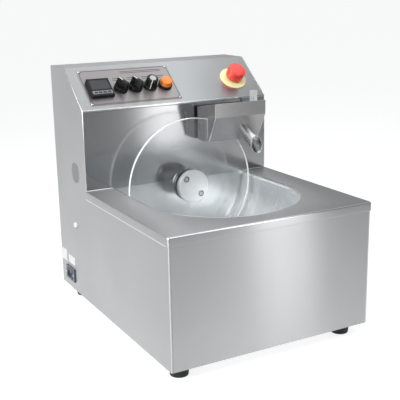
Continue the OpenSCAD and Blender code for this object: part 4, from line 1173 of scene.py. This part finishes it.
def make_plate():
    """The engraved plate with its border lines, plain rules and corner screws."""
    outline = box_outline(PLATE_W, PLATE_L, 1.5 * MM)
    mesh = drilled(prism(outline, PLATE, 0, PLATE_T), hole_cutters())
    sheet = add_fixed("control_plate_sheet", mesh, "engraved_steel", stands_for=["control_plate"])
    soften(sheet, 0.15 * MM, angle=60)
    inset, notch, line, below = mm(3.2, 6.5, 1.1, 1.9)
    x, y = PLATE_W / 2 - inset, PLATE_L / 2 - inset
    border = [(-x + notch, -y), (x - notch, -y), (x, -y + notch), (x, y - notch),
              (x - notch, y), (-x + notch, y), (-x, y - notch), (-x, -y + notch)]
    lines = [plate_line(a, b, line) for a, b in zip(border, border[1:] + border[:1])]
    lines.append(plate_line((-x, -y - below), (x, -y - below), 0.5 * line))
    # Plain rules at the plate's top and over each control: level, start, end and width
    level, start, end, width, apart = mm(37, -10, 84, 1.3, 2)
    rules = [(level + side * apart, start, end, width) for side in (-1, 1)]
    upper, lower, reach, short, bold = mm(29.5, 24.5, 9, 6, 1.5)
    turning = [joint_place(name) for name in ("heat_switch_turn", "wheel_switch_turn", "speed_turn")]
    for place in turning + [slope_place_of("lamp_body")]:
        spot = PLATE.inverted() @ place.translation
        rules.append((spot.y + upper, spot.x - reach, spot.x + reach, bold))
        rules.append((spot.y + lower, spot.x - reach, spot.x + short, width))
    lines += [plate_line((x0, y0), (x1, y0), wide) for y0, x0, x1, wide in rules]
    add_fixed("plate_engraving", joined(*lines), "engraved_steel", "engraving")
    points = [place @ Vector((0, 0, PLATE_T)) for place in plate_screw_places()]
    add_set("plate_screw_heads", cross_screw(PLATE_SCREW_R, PLATE_SCREW_H), points, SLOPE_OUT, "cabinet",
            "screw_steel", stands_for=["plate_screws"])


def make_controller():
    """The temperature controller: case, window, keys and the strip that the keys stand in."""
    low, high = span("controller_case", CONTROLLER)
    width, face = high.x - low.x, high.z
    soften(add_copy("controller_housing", "controller_case", "cabinet", "controller_plastic"), 0.8 * MM, 3)
    sunk, proud = mm(1.2, 0.25)
    outline = box_outline(window_high.x - window_low.x, window_high.y - window_low.y, MM, y=WINDOW_UP)
    glass = add_fixed("controller_glass", prism(outline, CONTROLLER, face - sunk, face + proud),
                      "controller_glass", stands_for=["controller_window"])
    soften(glass, 0.25 * MM)
    strip_y, strip_l, strip_t, side, slack = mm(-15, 8.4, 0.12, 5, 0.6)
    low, high = span("key_set", CONTROLLER)
    pocket_w, pocket_l = high.x - low.x + slack, high.y - low.y + slack
    pockets = []
    for node in ("key_set", "key_shift", "key_down", "key_up"):
        low, high = span(node, CONTROLLER)
        middle = (low + high) / 2
        pocket = box_outline(pocket_w, pocket_l, x=middle.x, y=middle.y)
        pockets.append(prism(pocket, CONTROLLER, face - MM, face + MM))
        outline = box_outline(high.x - low.x, high.y - low.y, 0.8 * MM, middle.x, middle.y)
        key = add_piece(f"{node}_cap", prism(outline, CONTROLLER, low.z, high.z),
                        node.split("_")[1] + "_key", "key_plastic", stands_for=[node])
        soften(key, 0.4 * MM)
    field = prism(box_outline(width - side, strip_l, MM, y=strip_y), CONTROLLER, face, face + strip_t)
    strip = drilled(field, joined(*pockets))
    add_fixed("controller_key_strip", strip, "controller_plastic", "controller_strip")


def panel_body(barrel, radius, foot, top, bore, edge):
    """The outline of a control's fixed part: its barrel behind the panel and its bezel in front."""
    bezel = rounded([(radius, foot), (radius, top), (bore, top)], edge, 4)
    return [(BARREL_R, -barrel), (BARREL_R, foot), *bezel]


def grip_outline(width, reach, steps=6):
    """A bar as wide as given whose two ends follow a circle."""
    half = asin(width / 2 / reach)
    angles = arc(steps, half, -half) + arc(steps, pi + half, pi - half)
    return [(reach * sin(a), reach * cos(a)) for a in angles]


def knob_ribs(place, radius, foot, height, count, width):
    """Grip ribs round a knob."""
    inner, outer, half = -0.4 * width, 0.5 * width, width / 2
    corners = [(inner, -half), (outer, -half), (outer, half), (inner, half)]
    rib = prism(rounded(corners, 0.3 * width, 2, closed=True), UPRIGHT, 0, height)
    mesh = grown("ring", rib, {"Count": count, "Radius": radius, "Start": 0.0, "Step": tau / count,
                               "Finish": finishes["knob_plastic"]})
    mesh.transform(place @ Matrix.Translation((0, 0, foot)))
    return mesh


def make_switches():
    """Two selector switches with a wedge grip and a white pointer."""
    bezel_h, barrel, bore, floor, block_w, block_l = mm(3.5, 28, 6.1, 6, 28, 34)
    base_r, base_h, gap, stem_r, stem_end = mm(14, 6, 0.3, 6, 7)
    bezel_top = PLATE_T + bezel_h
    foot = bezel_top + gap
    base_top = foot + base_h
    for switch in ("heat_switch", "wheel_switch"):
        place = joint_place(f"{switch}_turn")
        housing, knob = f"{switch}_body", f"{switch}_knob"
        profile = [(0, -barrel), *panel_body(barrel, BEZEL_R, PLATE_T, bezel_top, bore, 0.8 * MM),
                   (bore, -barrel + floor), (0, -barrel + floor)]
        block = prism(box_outline(block_w, block_l, MM), place, span(housing, place)[0].z, -barrel)
        shell = joined(turned(profile, place, 72), block)
        add_fixed(f"{housing}_shell", shell, "black_plastic", stands_for=[housing])
        profile = [(0, -barrel + stem_end), (stem_r, -barrel + stem_end), (stem_r, foot)]
        profile += rounded([(base_r, foot), (base_r, base_top), (0, base_top)], MM, 4)
        ribs = knob_ribs(place, base_r - 0.15 * MM, foot + 0.8 * MM, base_h - 1.9 * MM, 36, 0.9 * MM)
        base = joined(turned(profile, place, 72), ribs)
        add_piece(f"{knob}_base", base, switch, "knob_plastic", stands_for=[knob])
        grip = place @ Matrix.Rotation(POINTER - pi / 2, 4, "Z")
        top = span(knob, place)[1].z - 0.15 * MM
        wedge = prism(grip_outline(14 * MM, base_r - 0.3 * MM), grip, base_top - 0.5 * MM, top,
                      grip_outline(6.4 * MM, base_r - 1.2 * MM))
        soften(add_piece(f"{knob}_grip", wedge, switch, "knob_plastic"), MM, 3)
        line = prism(box_outline(*mm(2.2, 10.5, 0.6), y=6.6 * MM), grip, top - 0.1 * MM, top + 0.12 * MM)
        add_piece(f"{knob}_pointer", line, switch, "knob_plastic", "pointer_white")


def make_speed_control():
    """The speed control with its fluted knob, silver cap and white pointer."""
    place = joint_place("speed_turn")
    foot = PLATE_T + 2.8 * MM
    skirt_r, skirt_h, knob_r, cap_r, cap_h, stem_r, stem_l = mm(15, 4, 12, 7, 0.6, 3, 11.5)
    knob_h = span("speed_knob", place)[1].z - cap_h - foot
    shoulder, top = foot + skirt_h, foot + knob_h
    profile = [(0, -stem_l), (stem_r, -stem_l), (stem_r, foot)]
    profile += rounded([(skirt_r, foot), (skirt_r, foot + 0.55 * skirt_h), (knob_r, shoulder),
                        (knob_r - MM, top), (0, top)], 0.9 * MM, 4)
    ribs = knob_ribs(place, knob_r - 0.5 * MM, shoulder, knob_h - skirt_h - 1.6 * MM, 24, 1.6 * MM)
    knob = joined(turned(profile, place, 96), ribs)
    add_piece("speed_knob_body", knob, "speed_control", "knob_plastic", stands_for=["speed_knob"])
    seat, dish = top - 0.2 * MM, top + 0.35 * MM
    profile = [(0, seat)] + rounded([(cap_r, seat), (cap_r, top + cap_h), (cap_r - 1.5 * MM, top + cap_h),
                                     (cap_r - 2 * MM, dish), (0, dish)], 0.25 * MM, 3)
    add_piece("speed_knob_cap", turned(profile, place, 72), "speed_control", "knob_plastic", "knob_silver")
    pointer = place @ Matrix.Rotation(SPEED_POINTER, 4, "Z")
    # The pointer's marks on the knob's top, side and skirt: length, distance from the axis, two heights
    marks = [(3.2 * MM, knob_r - 2.4 * MM, top - 0.1 * MM, top + 0.15 * MM),
             (1.2 * MM, knob_r + 0.25 * MM, shoulder, top - 0.8 * MM),
             (3.6 * MM, skirt_r - 2.2 * MM, foot + 2.6 * MM, foot + 3.5 * MM)]
    bars = [prism(box_outline(length, 1.7 * MM, 0.3 * MM, x=x), pointer, low, high)
            for length, x, low, high in marks]
    add_piece("speed_knob_pointer", joined(*bars), "speed_control", "knob_plastic", "pointer_white")
    soften(add_copy("speed_control_shell", "speed_control_body", "cabinet", "black_plastic"), 0.2 * MM)


def make_lamp():
    """The pilot lamp: a black bezel and a stepped orange lens."""
    place = slope_place_of("lamp_body")
    bezel_h, seat_r, barrel, floor, plug_r, plug_l = mm(6, 9.1, 35, 10, 9, 9)
    top = PLATE_T + bezel_h
    profile = [(0, -barrel), *panel_body(barrel, BEZEL_R, PLATE_T, top, seat_r, 0.7 * MM),
               (seat_r, -floor), (0, -floor)]
    add_fixed("lamp_bezel", turned(profile, place, 72), "black_plastic", stands_for=["lamp_body"])
    low, high = span("lamp_lens", place)
    lens_r = (high.x - low.x) / 2
    profile = [(0, -plug_l), (plug_r, -plug_l), (plug_r, top)]
    profile += rounded([(lens_r, top), (lens_r, top + 2.2 * MM), (lens_r - 0.6 * MM, top + 2.6 * MM),
                        (lens_r - 0.8 * MM, high.z - 0.4 * MM), (0, high.z)], [0, *mm(0.4, 0.3, 1.5), 0], 4)
    add_fixed("lamp_lens_cap", turned(profile, place, 72), "lamp_orange", stands_for=["lamp_lens"])


def make_stop():
    """The emergency stop: yellow ring, dark collar and red mushroom head."""
    place = joint_place("stop_twist")
    ring_r, ring_t = mm(30, 2.5)
    profile = rounded([(PANEL_HOLE, 0), (ring_r, 0), (ring_r, ring_t), (PANEL_HOLE, ring_t)],
                      [0, 0, 0.9 * MM, 0], 4)
    ring = turned(profile, place, 96, closed=True)
    add_fixed("stop_ring_disc", ring, "stop_yellow", stands_for=["stop_ring"])
    collar_r, collar_h, stem_r, barrel = mm(13, 13, 5.05, 30)
    profile = [(stem_r, -barrel), *panel_body(barrel, collar_r, ring_t, collar_h, stem_r, 0.6 * MM)]
    collar = turned(profile, place, 72, closed=True)
    add_fixed("stop_collar", collar, "black_plastic", stands_for=["stop_body"])
    low, high = span("stop_head", place)
    head_r, skirt_r, skirt_h, cavity, roof, brow = mm(20, 19, 14, 14, 18.2, 0.6)
    profile = [(0, roof), (cavity, roof), (cavity, low.z)]
    profile += rounded([(cavity, low.z), (skirt_r, low.z), (head_r, low.z + skirt_h), (head_r, high.z - brow),
                        (0, high.z)], [0, *mm(1, 8, 3), 0], 6)[1:]
    head = turned(profile, place, 96)
    add_piece("stop_head_cap", head, "stop_button", "stop_red", stands_for=["stop_head"])


def dress_inner_nodes():
    """Gives every CAD node that still shows its slot's finish."""
    slots = {part["node"]: part["material_slot"] for part in frame["record"]["subparts"]}
    for node, piece in frame["nodes"].items():
        if not piece.hide_render:
            piece.data.materials.clear()
            piece.data.materials.append(finishes[slots[node]])


make_camera()
make_stage()
make_sheets()
make_deck()
make_tank()
make_backsplash()
make_deck_seam()
make_fascia()
make_feet()
make_back_screws()
make_louvres()
make_side_fittings()
make_wheel()
make_hub_cap()
make_hub_back()
make_scraper()
make_spout()
make_plate()
make_controller()
make_switches()
make_speed_control()
make_lamp()
make_stop()
dress_inner_nodes()
